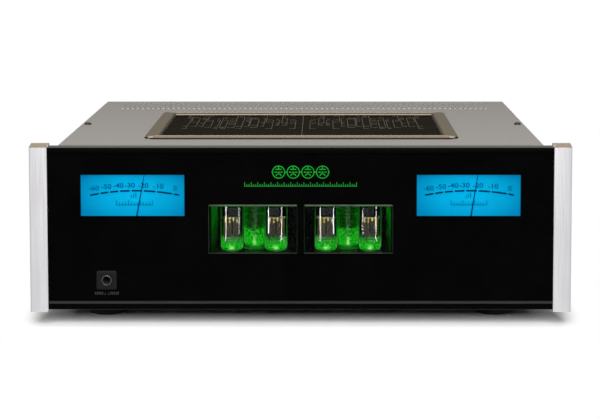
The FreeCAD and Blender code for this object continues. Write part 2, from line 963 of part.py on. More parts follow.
def tubes():
    """Nine-pin miniature tubes: a domed envelope with its tip, and the electrode stack inside."""
    socket = prism("socket_form", 12, dim.socket_radius, socket_top - tube_board_top, 0, 0, 0)
    envelope = tube_envelope()
    electrodes = electrode_stack()
    seats = tube_spots()
    group("tube_sockets", socket, [spot(x, y, tube_board_top) for x, y in seats])
    group("tube_envelopes", envelope, [spot(x, y, tube_seat) for x, y in seats])
    group("tube_electrodes", electrodes, [spot(x, y, tube_seat) for x, y in seats])


def tube_envelope():
    """A hollow glass tube with a shoulder in two slopes and a sealed-off tip."""
    body = new_body("envelope_form")
    sketch = sketch_on(body, "XY_Plane")
    regular(sketch, 0, 0, dim.tube_radius, 24)
    glass = pad(body, sketch, dim.tube_crown)
    slope = chamfer(body, glass, dim.tube_crown, dim.tube_crown_bevel)
    chamfer(body, slope, dim.tube_crown - dim.tube_crown_bevel, dim.tube_shoulder_bevel)
    sketch = sketch_on(body, "XY_Plane", dim.tube_crown)
    regular(sketch, 0, 0, dim.tube_tip_radius, 12)
    pad(body, sketch, dim.tube_height - dim.tube_crown)
    sketch = sketch_on(body, "XY_Plane", dim.tube_base_wall)
    regular(sketch, 0, 0, dim.tube_radius - dim.tube_wall, 24)
    inner_top = dim.tube_crown - dim.tube_crown_bevel - dim.tube_shoulder_bevel
    pocket(body, sketch, inner_top - dim.tube_base_wall, reverse=True)
    return body


def electrode_stack():
    """Two anodes side by side between mica plates, on posts that stand on the glass base."""
    half_post = dim.electrode_post / 2
    half_pitch = dim.electrode_post_pitch / 2
    half_depth = dim.anode_depth / 2
    lower_mica = dim.tube_base_wall + dim.mica_lift
    anode_low = lower_mica + dim.mica_thickness
    upper_mica = anode_low + dim.anode_height
    parts = [
        prism("lower_mica", 8, dim.mica_radius, dim.mica_thickness, 0, 0, lower_mica),
        prism("upper_mica", 8, dim.mica_radius, dim.mica_thickness, 0, 0, upper_mica),
    ]
    for name, side in SIDES.items():
        near = dim.anode_gap / 2
        far = near + dim.anode_width
        parts.append(box(
            name + "_anode",
            (near, far) if side > 0 else (-far, -near),
            (-half_depth, half_depth),
            (anode_low, upper_mica),
        ))
        parts.append(box(
            name + "_post",
            (side * half_pitch - half_post, side * half_pitch + half_post),
            (-half_post, half_post),
            (dim.tube_base_wall, lower_mica),
        ))
    return fuse("electrode_form", parts)


# Chassis

def base_pan():
    """Folded sheet: floor, front wall with openings, low side flanges and a rear flange."""
    gauge = dim.pan_thickness
    flange_top = pan_under + dim.pan_flange_height
    pan = new_body("base_pan")
    sketch = sketch_on(pan, "YZ_Plane", -pan_half)
    wall_top = cover_under - dim.edge_gap
    outline(sketch, [
        (trim_back, pan_under),
        (rear_inner, pan_under),
        (rear_inner, flange_top),
        (flange_inner, flange_top),
        (flange_inner, pan_floor),
        (wall_back, pan_floor),
        (wall_back, wall_top),
        (trim_back, wall_top),
    ])
    pad(pan, sketch, pan_half * 2)
    for start in (-pan_half, pan_half - gauge):
        sketch = sketch_on(pan, "YZ_Plane", start)
        rectangle(
            sketch,
            (wall_back + dim.pan_flange_margin, flange_inner - dim.pan_flange_margin),
            (pan_under, flange_top),
        )
        pad(pan, sketch, gauge)

    sketch = sketch_on(pan, "XZ_Plane", -trim_back)
    gap = dim.wall_opening_gap
    half_housing = housing_half + gap
    half_mark = dim.mark_window_width / 2 + dim.mark_board_margin + gap
    bay_edge = bay_outer + dim.bay_wall + gap
    opening_high = panel_bottom + dim.mark_window_high + dim.mark_board_margin + gap
    bay_low = panel_bottom + dim.bay_floor - gap
    bay_high = panel_bottom + dim.bay_top + gap
    for side in SIDES.values():
        x = side * meter_offset
        rectangle(
            sketch,
            (x - half_housing, x + half_housing),
            (housing_bottom - gap, housing_top + gap),
        )
    outline(sketch, [
        (-bay_edge, bay_low),
        (bay_edge, bay_low),
        (bay_edge, bay_high),
        (half_mark, bay_high),
        (half_mark, opening_high),
        (-half_mark, opening_high),
        (-half_mark, bay_high),
        (-bay_edge, bay_high),
    ])
    half_jack = dim.jack_body_size / 2 + gap
    jack_z = panel_bottom + dim.jack_height
    rectangle(
        sketch,
        (jack_x - half_jack, jack_x + half_jack),
        (jack_z - half_jack, jack_z + half_jack),
    )
    pocket(pan, sketch, gauge)

    sketch = sketch_on(pan, "XY_Plane", pan_floor)
    for x, y in foot_spots():
        regular(sketch, x, y, dim.foot_screw_radius + dim.screw_clearance, 6)
    pocket(pan, sketch, gauge)
    vent_front = subpanel_back + dim.floor_vent_setback
    vent_left = (1 - dim.floor_vent_count) * dim.floor_vent_pitch / 2
    sketch = sketch_on(pan, "XY_Plane", pan_floor)
    rectangle(
        sketch,
        (vent_left - dim.floor_vent_width / 2, vent_left + dim.floor_vent_width / 2),
        (vent_front, vent_front + dim.floor_vent_length),
    )
    slot = pocket(pan, sketch, gauge)
    row_of(pan, slot, "H_Axis", dim.floor_vent_count, dim.floor_vent_pitch)
    keep(pan, "base_pan")


def top_cover():
    """A cover folded over the top and both sides, with a field of vent slots at the rear."""
    half = cover_half
    gauge = dim.cover_thickness
    low = panel_bottom + dim.cover_side_lift
    cover = new_body("top_cover")
    sketch = sketch_on(cover, "XZ_Plane", -trim_back)
    outline(sketch, [
        (-half, low),
        (gauge - half, low),
        (gauge - half, cover_under),
        (half - gauge, cover_under),
        (half - gauge, low),
        (half, low),
        (half, cover_top, dim.cover_bend),
        (-half, cover_top, dim.cover_bend),
    ])
    pad(cover, sketch, dim.cover_depth, reverse=True)

    sketch = sketch_on(cover, "XY_Plane", cover_top)
    for x, y in top_screw_spots():
        regular(sketch, x, y, dim.screw_radius + dim.screw_clearance, 6)
    pocket(cover, sketch, gauge)

    vent_rear = trim_back + dim.cover_depth - dim.vent_rear_margin
    vent_left = dim.vent_side_margin - cover_half
    vent_pitch = -2 * vent_left / (dim.vent_count - 1)
    sketch = sketch_on(cover, "XY_Plane", cover_top)
    rectangle(
        sketch,
        (vent_left - dim.vent_width / 2, vent_left + dim.vent_width / 2),
        (vent_rear - dim.vent_length, vent_rear),
    )
    slot = pocket(cover, sketch, gauge)
    row_of(cover, slot, "H_Axis", dim.vent_count, vent_pitch)
    keep(cover, "top_cover")


def display_plate():
    """The raised, bevelled frame on the cover and the glass plate that it holds."""
    half = dim.frame_width / 2
    front = trim_back + dim.frame_setback
    rear = front + dim.frame_depth
    border = dim.frame_border
    frame = new_body("display_frame")
    sketch = sketch_on(frame, "XY_Plane", cover_top)
    rectangle(sketch, (-half, half), (front, rear), dim.frame_corner)
    rectangle(sketch, (border - half, half - border), (front + border, rear - border))
    base = pad(frame, sketch, dim.frame_height)
    chamfer(frame, base, cover_top + dim.frame_height, dim.frame_edge_bevel)
    keep(frame, "display_frame")

    inset = border + dim.display_gap
    plate = box(
        "display_plate",
        (inset - half, half - inset),
        (front + inset, rear - inset),
        (cover_top, cover_top + dim.frame_height - dim.display_drop),
    )
    keep(plate, "display_glass")


def rear_panel():
    """A flat plate with an opening for each connector."""
    plate = new_body("rear_panel")
    sketch = sketch_on(plate, "XZ_Plane", -rear_inner)
    rectangle(sketch, (-pan_half, pan_half), (pan_floor, cover_under - dim.edge_gap))
    pad(plate, sketch, dim.rear_thickness, reverse=True)

    gap = dim.panel_hole_clearance
    for spots, radius in (
        (phono_spots(), dim.phono_body_radius),
        (ground_spots(), dim.ground_stud_radius),
    ):
        sketch = sketch_on(plate, "XZ_Plane", -rear_inner)
        for x, z in spots:
            regular(sketch, x, z, radius + gap, 12)
        pocket(plate, sketch, dim.rear_thickness)
    reach = dim.xlr_body_width / 2 + gap
    half_shell = dim.control_shell_width / 2 + gap
    half_shell_height = dim.control_shell_height / 2 + gap
    for spots, width, below, above in (
        (xlr_spots("inputs") + xlr_spots("outputs"), reach, reach, dim.xlr_body_top + gap),
        (control_spots(), half_shell, half_shell_height, half_shell_height),
    ):
        sketch = sketch_on(plate, "XZ_Plane", -rear_inner)
        for x, z in spots:
            rectangle(sketch, (x - width, x + width), (z - below, z + above))
        pocket(plate, sketch, dim.rear_thickness)
    keep(plate, "rear_panel")


def centre_shield():
    """The upright plate that parts the two channels."""
    half = dim.shield_thickness / 2
    plate = box(
        "shield_sheet",
        (-half, half),
        (wall_back + dim.edge_gap, flange_inner - dim.edge_gap),
        (pan_floor, cover_under - dim.edge_gap),
    )
    keep(plate, "centre_shield")


# Feet and screws

def foot_spots():
    front = trim_back + dim.foot_setback
    return [
        (side * (cover_half - dim.foot_inset), y)
        for y in (front, front + dim.foot_pitch_y)
        for side in SIDES.values()
    ]


def feet():
    """Round moulded feet, each with a blind hole for its screw."""
    depth = dim.foot_screw_length + dim.screw_clearance
    block = rod("foot_block", dim.foot_radius, pan_under, 0, 0, 0)
    hole = prism(
        "foot_hole", 6, dim.foot_screw_radius + dim.screw_clearance, depth, 0, 0, pan_under - depth
    )
    foot = cut("foot_form", block, [hole])
    group("feet", foot, [spot(x, y, 0) for x, y in foot_spots()])


def top_screw_spots():
    y = trim_back + dim.top_screw_setback
    return [(side * (cover_half - dim.top_screw_inset), y) for side in SIDES.values()]


def screw(name, radius, length, head_radius, head_height):
    """A pan-head screw, head up, with the head's seat at its origin."""
    shank = prism(name + "_shank", 6, radius, length, 0, 0, -length)
    head = prism(name + "_head", 12, head_radius, head_height, 0, 0, 0)
    return fuse(name, [shank, head])


def screws():
    small = screw(
        "screw_form", dim.screw_radius, dim.screw_length,
        dim.screw_head_radius, dim.screw_head_height,
    )
    group("top_screws", small, [spot(x, y, cover_top) for x, y in top_screw_spots()])
    large = screw(
        "foot_screw_form", dim.foot_screw_radius, dim.foot_screw_length,
        dim.foot_screw_head_radius, dim.foot_screw_head_height,
    )
    group("foot_screws", large, [spot(x, y, pan_floor) for x, y in foot_spots()])


def cover_brackets():
    """Upright brackets on the pan's side flanges, whose top flange takes a cover screw."""
    gauge = dim.bracket_thickness
    outer = pan_half - dim.pan_thickness
    x, y = top_screw_spots()[1]
    bracket = new_body("right_cover_bracket")
    sketch = sketch_on(bracket, "XZ_Plane", dim.bracket_length / 2 - y)
    outline(sketch, [
        (outer - gauge, pan_floor),
        (outer, pan_floor),
        (outer, cover_under),
        (outer - dim.bracket_flange, cover_under),
        (outer - dim.bracket_flange, cover_under - gauge),
        (outer - gauge, cover_under - gauge),
    ])
    pad(bracket, sketch, dim.bracket_length, reverse=True)
    sketch = sketch_on(bracket, "XY_Plane", cover_under)
    regular(sketch, x, y, dim.screw_radius + dim.screw_clearance, 6)
    pocket(bracket, sketch, gauge)
    keep(bracket, "right_cover_bracket")
    keep(mirrored("left_cover_bracket", bracket), "left_cover_bracket")


# Line boards

def line_boards():
    """One board for each channel on standoffs, with its filter capacitors and relays."""
    inner = dim.line_board_inner
    outer = cover_half - dim.line_board_side_margin
    front = trim_back + dim.line_board_setback
    rear = front + dim.line_board_depth
    board = box("right_line_plate", (inner, outer), (front, rear), (line_board_under, line_board_top))
    keep(board, "right_line_board")
    keep(mirrored("left_line_plate", board), "left_line_board")

    margin = dim.standoff_margin
    short = prism("short_standoff", 6, dim.standoff_radius, dim.standoff_height, 0, 0, 0)
    tall = prism("tall_standoff", 6, dim.standoff_radius, tube_board_under - pan_floor, 0, 0, 0)
    tube_front = wall_back + dim.edge_gap + margin
    tube_rear = subpanel_back + dim.tube_board_front + dim.tube_board_depth - margin
    group("line_board_standoffs", short, [
        spot(side * x, y, pan_floor)
        for side in SIDES.values()
        for x in (inner + margin, outer - margin)
        for y in (front + margin, rear - margin)
    ])
    group("tube_board_standoffs", tall, [
        spot(side * x, y, pan_floor)
        for side in SIDES.values()
        for x in (bay_inner + margin, bay_outer - margin)
        for y in (tube_front, tube_rear)
    ])

    can = prism("capacitor_form", 16, dim.capacitor_radius, dim.capacitor_height, 0, 0, 0)
    can_y = front + dim.capacitor_pitch
    group("filter_capacitors", can, [
        spot(side * (inner + step * dim.capacitor_pitch), can_y, line_board_top)
        for side in SIDES.values()
        for step in (1, 2, 3)
    ])
    relay = box(
        "relay_form",
        (-dim.relay_width / 2, dim.relay_width / 2),
        (-dim.relay_depth / 2, dim.relay_depth / 2),
        (as_size(0), dim.relay_height),
    )
    relay_y = rear - dim.relay_depth - dim.standoff_margin
    group("input_relays", relay, [
        spot(side * (inner + margin * 2 + step * dim.relay_pitch), relay_y, line_board_top)
        for side in SIDES.values()
        for step in (1, 2, 3, 4)
    ])


# Rear connectors

def phono_spots():
    z = panel_bottom + dim.phono_row_height
    columns = (dim.phono_input_offset, dim.phono_output_offset)
    return [(side * x, z) for side in SIDES.values() for x in columns]


def xlr_spots(kind):
    z = panel_bottom + dim.xlr_row_height
    columns = {
        "inputs": (dim.xlr_first, dim.xlr_first + dim.xlr_pitch),
        "outputs": (dim.xlr_output,),
    }
    return [(side * x, z) for side in SIDES.values() for x in columns[kind]]


def control_spots():
    z = panel_bottom + dim.control_height
    return [(side * dim.control_offset, z) for side in SIDES.values()]


def ground_spots():
    z = panel_bottom + dim.ground_height
    return [(side * dim.phono_output_offset, z) for side in SIDES.values()]


def phono_jacks():
    """Unbalanced jacks: a hexagon on the panel, a sleeve with its centre contact, a rear body."""
    body = new_body("phono_form")
    sketch = sketch_on(body, "XZ_Plane")
    regular(sketch, 0, 0, dim.phono_nut_radius, 6)
    pad(body, sketch, dim.phono_nut_thickness, reverse=True)
    sketch = sketch_on(body, "XZ_Plane")
    circle(sketch, 0, 0, dim.phono_sleeve_radius)
    pad(body, sketch, dim.phono_sleeve_length, reverse=True)
    sketch = sketch_on(body, "XZ_Plane")
    regular(sketch, 0, 0, dim.phono_body_radius, 12)
    pad(body, sketch, dim.phono_body_length)
    sketch = sketch_on(body, "XZ_Plane", -dim.phono_sleeve_length)
    regular(sketch, 0, 0, dim.phono_bore_radius, 8)
    pocket(body, sketch, dim.phono_bore_depth, reverse=True)
    group("phono_jacks", body, [spot(x, rear_outer, z) for x, z in phono_spots()])


def xlr_form(name):
    """The flange and the rear housing that both kinds of balanced socket share."""
    half_width = dim.xlr_flange_width / 2
    half_height = dim.xlr_flange_height / 2
    half_body = dim.xlr_body_width / 2
    body = new_body(name)
    sketch = sketch_on(body, "XZ_Plane")
    rectangle(sketch, (-half_width, half_width), (-half_height, half_height))
    pad(body, sketch, dim.xlr_flange_thickness, reverse=True)
    sketch = sketch_on(body, "XZ_Plane")
    rectangle(sketch, (-half_body, half_body), (-half_body, dim.xlr_body_top))
    pad(body, sketch, dim.xlr_body_length)
    return body


def balanced_inputs():
    """Female balanced sockets: a ring groove for the plug's shell, and a slot for the latch tab."""
    body = xlr_form("input_form")
    face = dim.xlr_flange_thickness
    half_slot = dim.latch_width / 2 + dim.latch_gap
    slot_low = dim.latch_lift - dim.latch_height / 2 - dim.latch_gap
    slot_high = dim.latch_lift + dim.latch_height / 2 + dim.latch_gap
    slot_depth = dim.latch_length - dim.latch_rise + dim.latch_travel + dim.latch_stop_gap
    sketch = sketch_on(body, "XZ_Plane", -face)
    rectangle(sketch, (-half_slot, half_slot), (slot_low, slot_high))
    pocket(body, sketch, slot_depth, reverse=True)
    sketch = sketch_on(body, "XZ_Plane", -face)
    circle(sketch, 0, 0, dim.xlr_groove_outer)
    regular(sketch, 0, 0, dim.xlr_groove_inner, 16)
    pocket(body, sketch, dim.xlr_groove_depth, reverse=True)
    spots = xlr_spots("inputs")
    group("balanced_inputs", body, [spot(x, rear_outer, z) for x, z in spots])

    names = ("left_outer", "left_inner", "right_inner", "right_outer")
    tab_rear = rear_outer + face + dim.latch_rise
    half = dim.latch_width / 2
    for name, (x, z) in zip(names, sorted(spots, key=lambda place: place[0].number)):
        tab_z = z + dim.latch_lift
        tab = box(
            name + "_tab",
            (x - half, x + half),
            (tab_rear - dim.latch_length, tab_rear),
            (tab_z - dim.latch_height / 2, tab_z + dim.latch_height / 2),
        )
        keep(tab, name + "_input_latch")


def balanced_outputs():
    """Male balanced sockets: a cup with three pins."""
    body = xlr_form("output_form")
    face = dim.xlr_flange_thickness
    sketch = sketch_on(body, "XZ_Plane", -face)
    circle(sketch, 0, 0, dim.xlr_cup_radius)
    pocket(body, sketch, dim.xlr_cup_depth, reverse=True)
    sketch = sketch_on(body, "XZ_Plane", dim.xlr_cup_depth - face)
    for degrees in (30, 150, 270):
        x, y = around(0, 0, dim.xlr_pin_circle, math.radians(degrees))
        regular(sketch, x, y, dim.xlr_pin_radius, 8)
    pad(body, sketch, dim.xlr_pin_length, reverse=True)
    spots = xlr_spots("outputs")
    group("balanced_outputs", body, [spot(x, rear_outer, z) for x, z in spots])


def control_connectors():
    """Multi-pin sockets for the leads from the control unit, each with two hexagon posts."""
    half_flange = dim.control_flange_width / 2
    half_flange_height = dim.control_flange_height / 2
    half_shell = dim.control_shell_width / 2
    half_height = dim.control_shell_height / 2
    face = dim.control_flange_thickness
    body = new_body("control_form")
    sketch = sketch_on(body, "XZ_Plane")
    rectangle(sketch, (-half_flange, half_flange), (-half_flange_height, half_flange_height))
    pad(body, sketch, face, reverse=True)
    shell_length = face + dim.control_shell_length
    for length, reverse in ((shell_length, True), (dim.control_body_length, False)):
        sketch = sketch_on(body, "XZ_Plane")
        outline(sketch, [
            (dim.control_shell_taper - half_shell, -half_height),
            (half_shell - dim.control_shell_taper, -half_height),
            (half_shell, half_height),
            (-half_shell, half_height),
        ])
        pad(body, sketch, length, reverse=reverse)
    posts = [
        prism(
            name + "_hex_post", 6, dim.control_post_radius, dim.control_post_length,
            side * dim.control_post_pitch / 2, face, 0, "y",
        )
        for name, side in SIDES.items()
    ]
    connector = fuse("control_connector_form", [body, *posts])
    group("control_connectors", connector, [spot(x, rear_outer, z) for x, z in control_spots()])


def ground_posts():
    """A stud on a washer for each channel, and the thumb nut that turns on it."""
    washer = prism(
        "ground_washer", 12, dim.ground_washer_radius, dim.ground_washer_thickness, 0, 0, 0, "y"
    )
    inner_stud = prism(
        "ground_inner_stud", 12, dim.ground_stud_radius, dim.ground_stud_inside,
        0, -dim.ground_stud_inside, 0, "y",
    )
    stud = rod("ground_stud", dim.ground_stud_radius, dim.post_reach, 0, 0, 0, "y")
    post = fuse("ground_form", [washer, inner_stud, stud])
    group("ground_posts", post, [spot(x, rear_outer, z) for x, z in ground_spots()])
    nut_front = rear_outer + dim.ground_washer_thickness + dim.thumb_nut_gap
    for name, (x, z) in zip(SIDES, ground_spots()):
        blank = prism(
            name + "_nut_blank", 12, dim.thumb_nut_radius, dim.thumb_nut_length,
            x, nut_front, z, "y",
        )
        bore = rod(
            name + "_nut_bore", dim.ground_stud_radius + dim.thumb_nut_clearance,
            dim.thumb_nut_length, x, nut_front, z, "y",
        )
        keep(cut(name + "_nut", blank, [bore]), name + "_ground_nut")


end_caps()
trims()
front_plates()
mark_light_board()
headphone_jack()
for side_name, side in SIDES.items():
    meter(side_name, side)
tube_bays()
tube_boards()
tubes()
base_pan()
top_cover()
display_plate()
rear_panel()
centre_shield()
feet()
cover_brackets()
screws()
line_boards()
phono_jacks()
balanced_inputs()
balanced_outputs()
control_connectors()
ground_posts()

doc.recompute()
for item in doc.Objects:
    if {"Invalid", "Error"} & set(item.State):
        raise RuntimeError(f"{item.Label} failed: {item.State}")
for piece in pieces:
    if piece.Shape.isNull() or not piece.Shape.isValid() or not piece.Shape.Solids:
        raise RuntimeError(f"{piece.Label} has no valid solid")
    piece.Shape.exportStep(f"parts/{piece.Label}.step")
print(len(pieces), "pieces")
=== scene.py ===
import math

import bmesh
import bpy
import numpy as np
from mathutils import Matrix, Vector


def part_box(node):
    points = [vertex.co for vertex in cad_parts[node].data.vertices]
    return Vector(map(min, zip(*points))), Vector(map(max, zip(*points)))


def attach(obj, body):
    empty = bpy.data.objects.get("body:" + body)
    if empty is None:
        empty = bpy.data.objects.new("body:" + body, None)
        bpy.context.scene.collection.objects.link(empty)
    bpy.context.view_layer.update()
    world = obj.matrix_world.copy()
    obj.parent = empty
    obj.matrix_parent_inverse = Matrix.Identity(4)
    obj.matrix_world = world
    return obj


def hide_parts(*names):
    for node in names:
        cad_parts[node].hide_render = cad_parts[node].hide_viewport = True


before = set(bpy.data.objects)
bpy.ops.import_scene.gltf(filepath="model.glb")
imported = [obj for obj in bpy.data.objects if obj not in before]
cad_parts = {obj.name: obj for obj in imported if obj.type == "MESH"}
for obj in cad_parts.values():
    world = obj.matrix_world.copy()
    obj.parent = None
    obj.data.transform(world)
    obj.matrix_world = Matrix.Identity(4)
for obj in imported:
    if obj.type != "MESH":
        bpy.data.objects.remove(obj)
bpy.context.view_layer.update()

MM = 0.001
scene = bpy.context.scene
scene.view_settings.view_transform = "Standard"


def corners_of(node):
    """A node's lowest and highest corner in millimetres."""
    return [np.array(corner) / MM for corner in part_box(node)]


# Places that several pieces share, in millimetres.
FACE = corners_of("front_glass")[0][1]  # front of the glass
METER_X, METER_Z = 138.05, 110.25  # middle of a meter's window
METER_HALF = (42.65, 17.15)
TUBE_X, TUBE_Z = (2.7, 75.9), (61.9, 102.9)  # edges of a tube window
BAY_MIDDLE, TUBE_ASIDE = 39.3, 18.3  # middle of a bay, and its front tubes' distance from that
TUBES = np.array([[side * (BAY_MIDDLE + aside), y] for side in (-1, 1) for aside, y in
                  ((-TUBE_ASIDE, -173.5), (TUBE_ASIDE, -173.5), (0, -151.5))])
FRONT_TUBES, REAR_TUBES = TUBES[[0, 1, 3, 4]], TUBES[[2, 5]]
SEAT = 59.9  # level on which the tubes' glass stands
JACK = (-159.7, 40.3)
PANEL_BACK = corners_of("rear_panel")[1][1]
FIGURE = 0.08  # thickness of print


# Shapes. A shape is its points in millimetres and a list of face arrays.

# The six sides of a box whose corners go round below, then above.
BOX_SIDES = np.array([[0, 3, 2, 1], [4, 5, 6, 7], [0, 1, 5, 4], [1, 2, 6, 5], [2, 3, 7, 6],
                      [3, 0, 4, 7]])


def grid_faces(rows, columns):
    """Quads between neighbouring points of a grid whose last column joins the first."""
    index = np.arange(rows * columns).reshape(rows, columns)
    index = np.hstack([index, index[:, :1]])
    corners = (index[:-1, :-1], index[:-1, 1:], index[1:, 1:], index[1:, :-1])
    return np.stack(corners, -1).reshape(-1, 4)


def eased(corners, closed=False, steps=6):
    """An outline through corners (a, b, round): each corner becomes a parabola that starts and
    ends the given distance from it, along its two sides. Points that meet are kept once."""
    corners = np.asarray(corners, float)
    spots, reach = corners[:, :2], corners[:, 2:].copy()
    if not closed:
        reach[[0, -1]] = 0
    ends = []
    for neighbour in (1, -1):
        side = np.roll(spots, neighbour, axis=0) - spots
        length = np.maximum(np.linalg.norm(side, axis=1, keepdims=True), 1e-9)
        ends.append((spots + side / length * reach)[:, None])
    share = np.linspace(0, 1, steps)[None, :, None]
    middle = 2 * share * (1 - share) * spots[:, None]
    curve = ((1 - share) ** 2 * ends[0] + middle + share**2 * ends[1]).reshape(-1, 2)
    apart = np.linalg.norm(np.diff(curve, axis=0), axis=1) > 1e-5
    return curve[np.r_[True, apart]]


def turned(profile, count=48):
    """Surface of revolution: every (radius, height) of the profile is carried round the Z axis."""
    radius, height = np.asarray(profile, float).T[..., None]
    turn = np.linspace(0, 2 * np.pi, count, endpoint=False)
    points = np.stack([radius * np.cos(turn), radius * np.sin(turn), height + 0 * turn], -1)
    return points.reshape(-1, 3), [grid_faces(len(radius), count)]


def flat_ring(inner, outer, low, high, outside, inside, steps=3, count=32):
    """A turned ring between two radii and two levels, its upper edges rounded outside and in."""
    outline = [(inner, low, 0), (outer, low, 0), (outer, high, outside), (inner, high, inside),
               (inner, low, 0)]
    return turned(eased(outline, steps=steps), count)


def round_ring(half_x, half_y, corner, steps):
    """Points round a rectangle with quarter-circle corners, counterclockwise from the right."""
    turn = np.linspace(0, np.pi / 2, steps)
    quarter = np.stack([np.cos(turn), np.sin(turn)], -1) * corner
    signs = np.array([[1, 1], [-1, 1], [-1, -1], [1, -1]], float)
    middle = signs * [half_x - corner, half_y - corner]
    arcs = quarter[None] * signs[:, None]
    arcs[[1, 3]] = arcs[[1, 3], ::-1]
    return (middle[:, None] + arcs).reshape(-1, 2)


def lofted(half_x, half_y, corner, profile, steps):
    """A rounded rectangle carried up a profile of (inset, height): each level is the ring with
    its half widths and its corner radius less by the inset."""
    rings = [np.c_[round_ring(half_x - inset, half_y - inset, max(corner - inset, 0.05), steps),
                   np.full(4 * steps, height)] for inset, height in profile]
    return np.vstack(rings), [grid_faces(len(rings), 4 * steps)]


def capped(shape, columns):
    """The same shape with its first and last rings closed by one flat face each."""
    points, faces = shape
    ring = np.arange(columns)[None]
    return points, [*faces, ring[:, ::-1], ring + len(points) - columns]


def drawn_out(outline, low, high):
    """A flat outline carried straight up from one height to another, closed at both ends."""
    count = len(outline)
    points = np.vstack([np.c_[outline, np.full(count, level)] for level in (low, high)])
    return capped((points, [grid_faces(2, count)]), count)


def strokes(ends, width, low, high):
    """Thin bars along line segments: each segment (n, 2, 2) is widened to both sides by half the
    width, lengthened by as much at its ends, and filled between two heights."""
    ends = np.asarray(ends, float)
    along = ends[:, 1] - ends[:, 0]
    along *= width / 2 / np.linalg.norm(along, axis=1, keepdims=True)
    across = along[:, ::-1] * [-1, 1]
    first, last = ends[:, 0] - along, ends[:, 1] + along
    flat = np.stack([first - across, last - across, last + across, first + across], 1)
    points = [np.dstack([flat, np.full(flat.shape[:2], level)]) for level in (low, high)]
    sides = BOX_SIDES + 8 * np.arange(len(ends))[:, None, None]
    return np.concatenate(points, 1).reshape(-1, 3), [sides.reshape(-1, 4)]


def chained(points):
    """The segments between neighbouring points of a line."""
    return np.stack([points[:-1], points[1:]], 1)


def uprights(across, foot, tall):
    """Upright segments at several places across, from one level up by the given heights."""
    low = np.stack(np.broadcast_arrays(across, foot), -1)
    high = np.stack(np.broadcast_arrays(across, foot + tall), -1)
    return np.stack([low, high], 1)


def arc(x, y, radius, first, last, count):
    """Points along part of a circle, its two angles given in degrees."""
    turn = np.radians(np.linspace(first, last, count))
    return np.stack([x + radius * np.cos(turn), y + radius * np.sin(turn)], -1)


def joined(*shapes):
    """Several shapes as one: each shape's face numbers go up by the points before it."""
    offsets = np.cumsum([0] + [len(points) for points, _ in shapes])
    return np.vstack([points for points, _ in shapes]), [
        sides + offset for (_, faces), offset in zip(shapes, offsets) for sides in faces
    ]


def copied(shape, places):
    """The shape at each of several places."""
    points, faces = shape
    places = np.atleast_2d(np.asarray(places, float))
    offset = np.arange(len(places))[:, None, None] * len(points)
    return (points[None] + places[:, None]).reshape(-1, 3), [
        (sides[None] + offset).reshape(-1, sides.shape[1]) for sides in faces
    ]


def on_tubes(shape, tubes=TUBES):
    """The shape, drawn from the seat up, on the axis of each tube."""
    return copied(shape, np.c_[tubes, np.full(len(tubes), SEAT)])


def to_back(shape):
    """Turns up into towards the back, +Y."""
    points, faces = shape
    return points[:, [0, 2, 1]] * [1, 1, -1], faces


def to_front(shape):
    """Turns up into towards the front, -Y, and keeps what was to the back on top."""
    points, faces = shape
    return points[:, [0, 2, 1]] * [1, -1, 1], faces


def to_side(shape, side):
    """Turns up into towards one side, +X or -X."""
    points, faces = shape
    return points[:, [2, 1, 0]] * [side, 1, -side], faces


def on_front(shape, y):
    """A flat drawing in (x, z) with its thickness upwards, stood up at one depth."""
    return copied(to_front(shape), [0, y, 0])


def at_back(shape, spots, y):
    """A shape that faces backwards, once at each spot across and up, on the level y."""
    return copied(to_back(shape), [[x, y, z] for x, z in spots])


def piece(name, shape, coats, body="chassis", instead_of=None, inks=None, sharp=38):
    """Puts a shape into one mesh, joins points that meet, sets soft shading with crisp edges, and
    hangs it on its body. With several coats, inks gives the number of each face's coat."""
    points, faces = shape
    mesh = bpy.data.meshes.new(name)
    sides = [side for group in faces for side in group.tolist()]
    mesh.from_pydata((points * MM).tolist(), [], sides)
    for coat in coats if isinstance(coats, list) else [coats]:
        mesh.materials.append(coat)
    if inks is not None:
        mesh.polygons.foreach_set("material_index", np.asarray(inks, np.int32))
    shell = bmesh.new()
    shell.from_mesh(mesh)
    bmesh.ops.remove_doubles(shell, verts=shell.verts, dist=1e-7)
    shell.to_mesh(mesh)
    shell.free()
    mesh.polygons.foreach_set("use_smooth", np.ones(len(mesh.polygons), bool))
    mesh.set_sharp_from_angle(angle=math.radians(sharp))
    item = bpy.data.objects.new(name, mesh)
    scene.collection.objects.link(item)
    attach(item, body)
    if instead_of:
        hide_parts(instead_of)
    return item


# Finishes


def linear(code):
    """An sRGB hex colour as the linear numbers that shaders work in."""
    tone = np.array([int(code[start : start + 2], 16) for start in (0, 2, 4)]) / 255
    tone = np.where(tone <= 0.04045, tone / 12.92, ((tone + 0.055) / 1.055) ** 2.4)
    return (*tone.tolist(), 1.0)


def feed(node, values):
    """Gives a node's inputs values or links, by place or by name. A text is a colour's hex code."""
    for key, value in values.items() if isinstance(values, dict) else enumerate(values):
        if isinstance(value, bpy.types.NodeSocket):
            node.id_data.links.new(value, node.inputs[key])
        else:
            node.inputs[key].default_value = linear(value) if isinstance(value, str) else value


def add(tree, kind, values=(), output=0, **settings):
    """Adds a node, sets its properties, feeds its inputs, and returns one of its outputs."""
    made = tree.nodes.new("ShaderNode" + kind)
    for name, value in settings.items():
        setattr(made, name, value)
    feed(made, values)
    return made.outputs[output]


def new_material(name):
    """A new material, its node tree and its Principled shader."""
    made = bpy.data.materials.new(name)
    made.use_nodes = True
    return made, made.node_tree, made.node_tree.nodes["Principled BSDF"]


def shown(tree, surface):
    """Puts another shader in the Principled one's place."""
    tree.nodes.remove(tree.nodes["Principled BSDF"])
    feed(tree.nodes["Material Output"], {"Surface": surface})


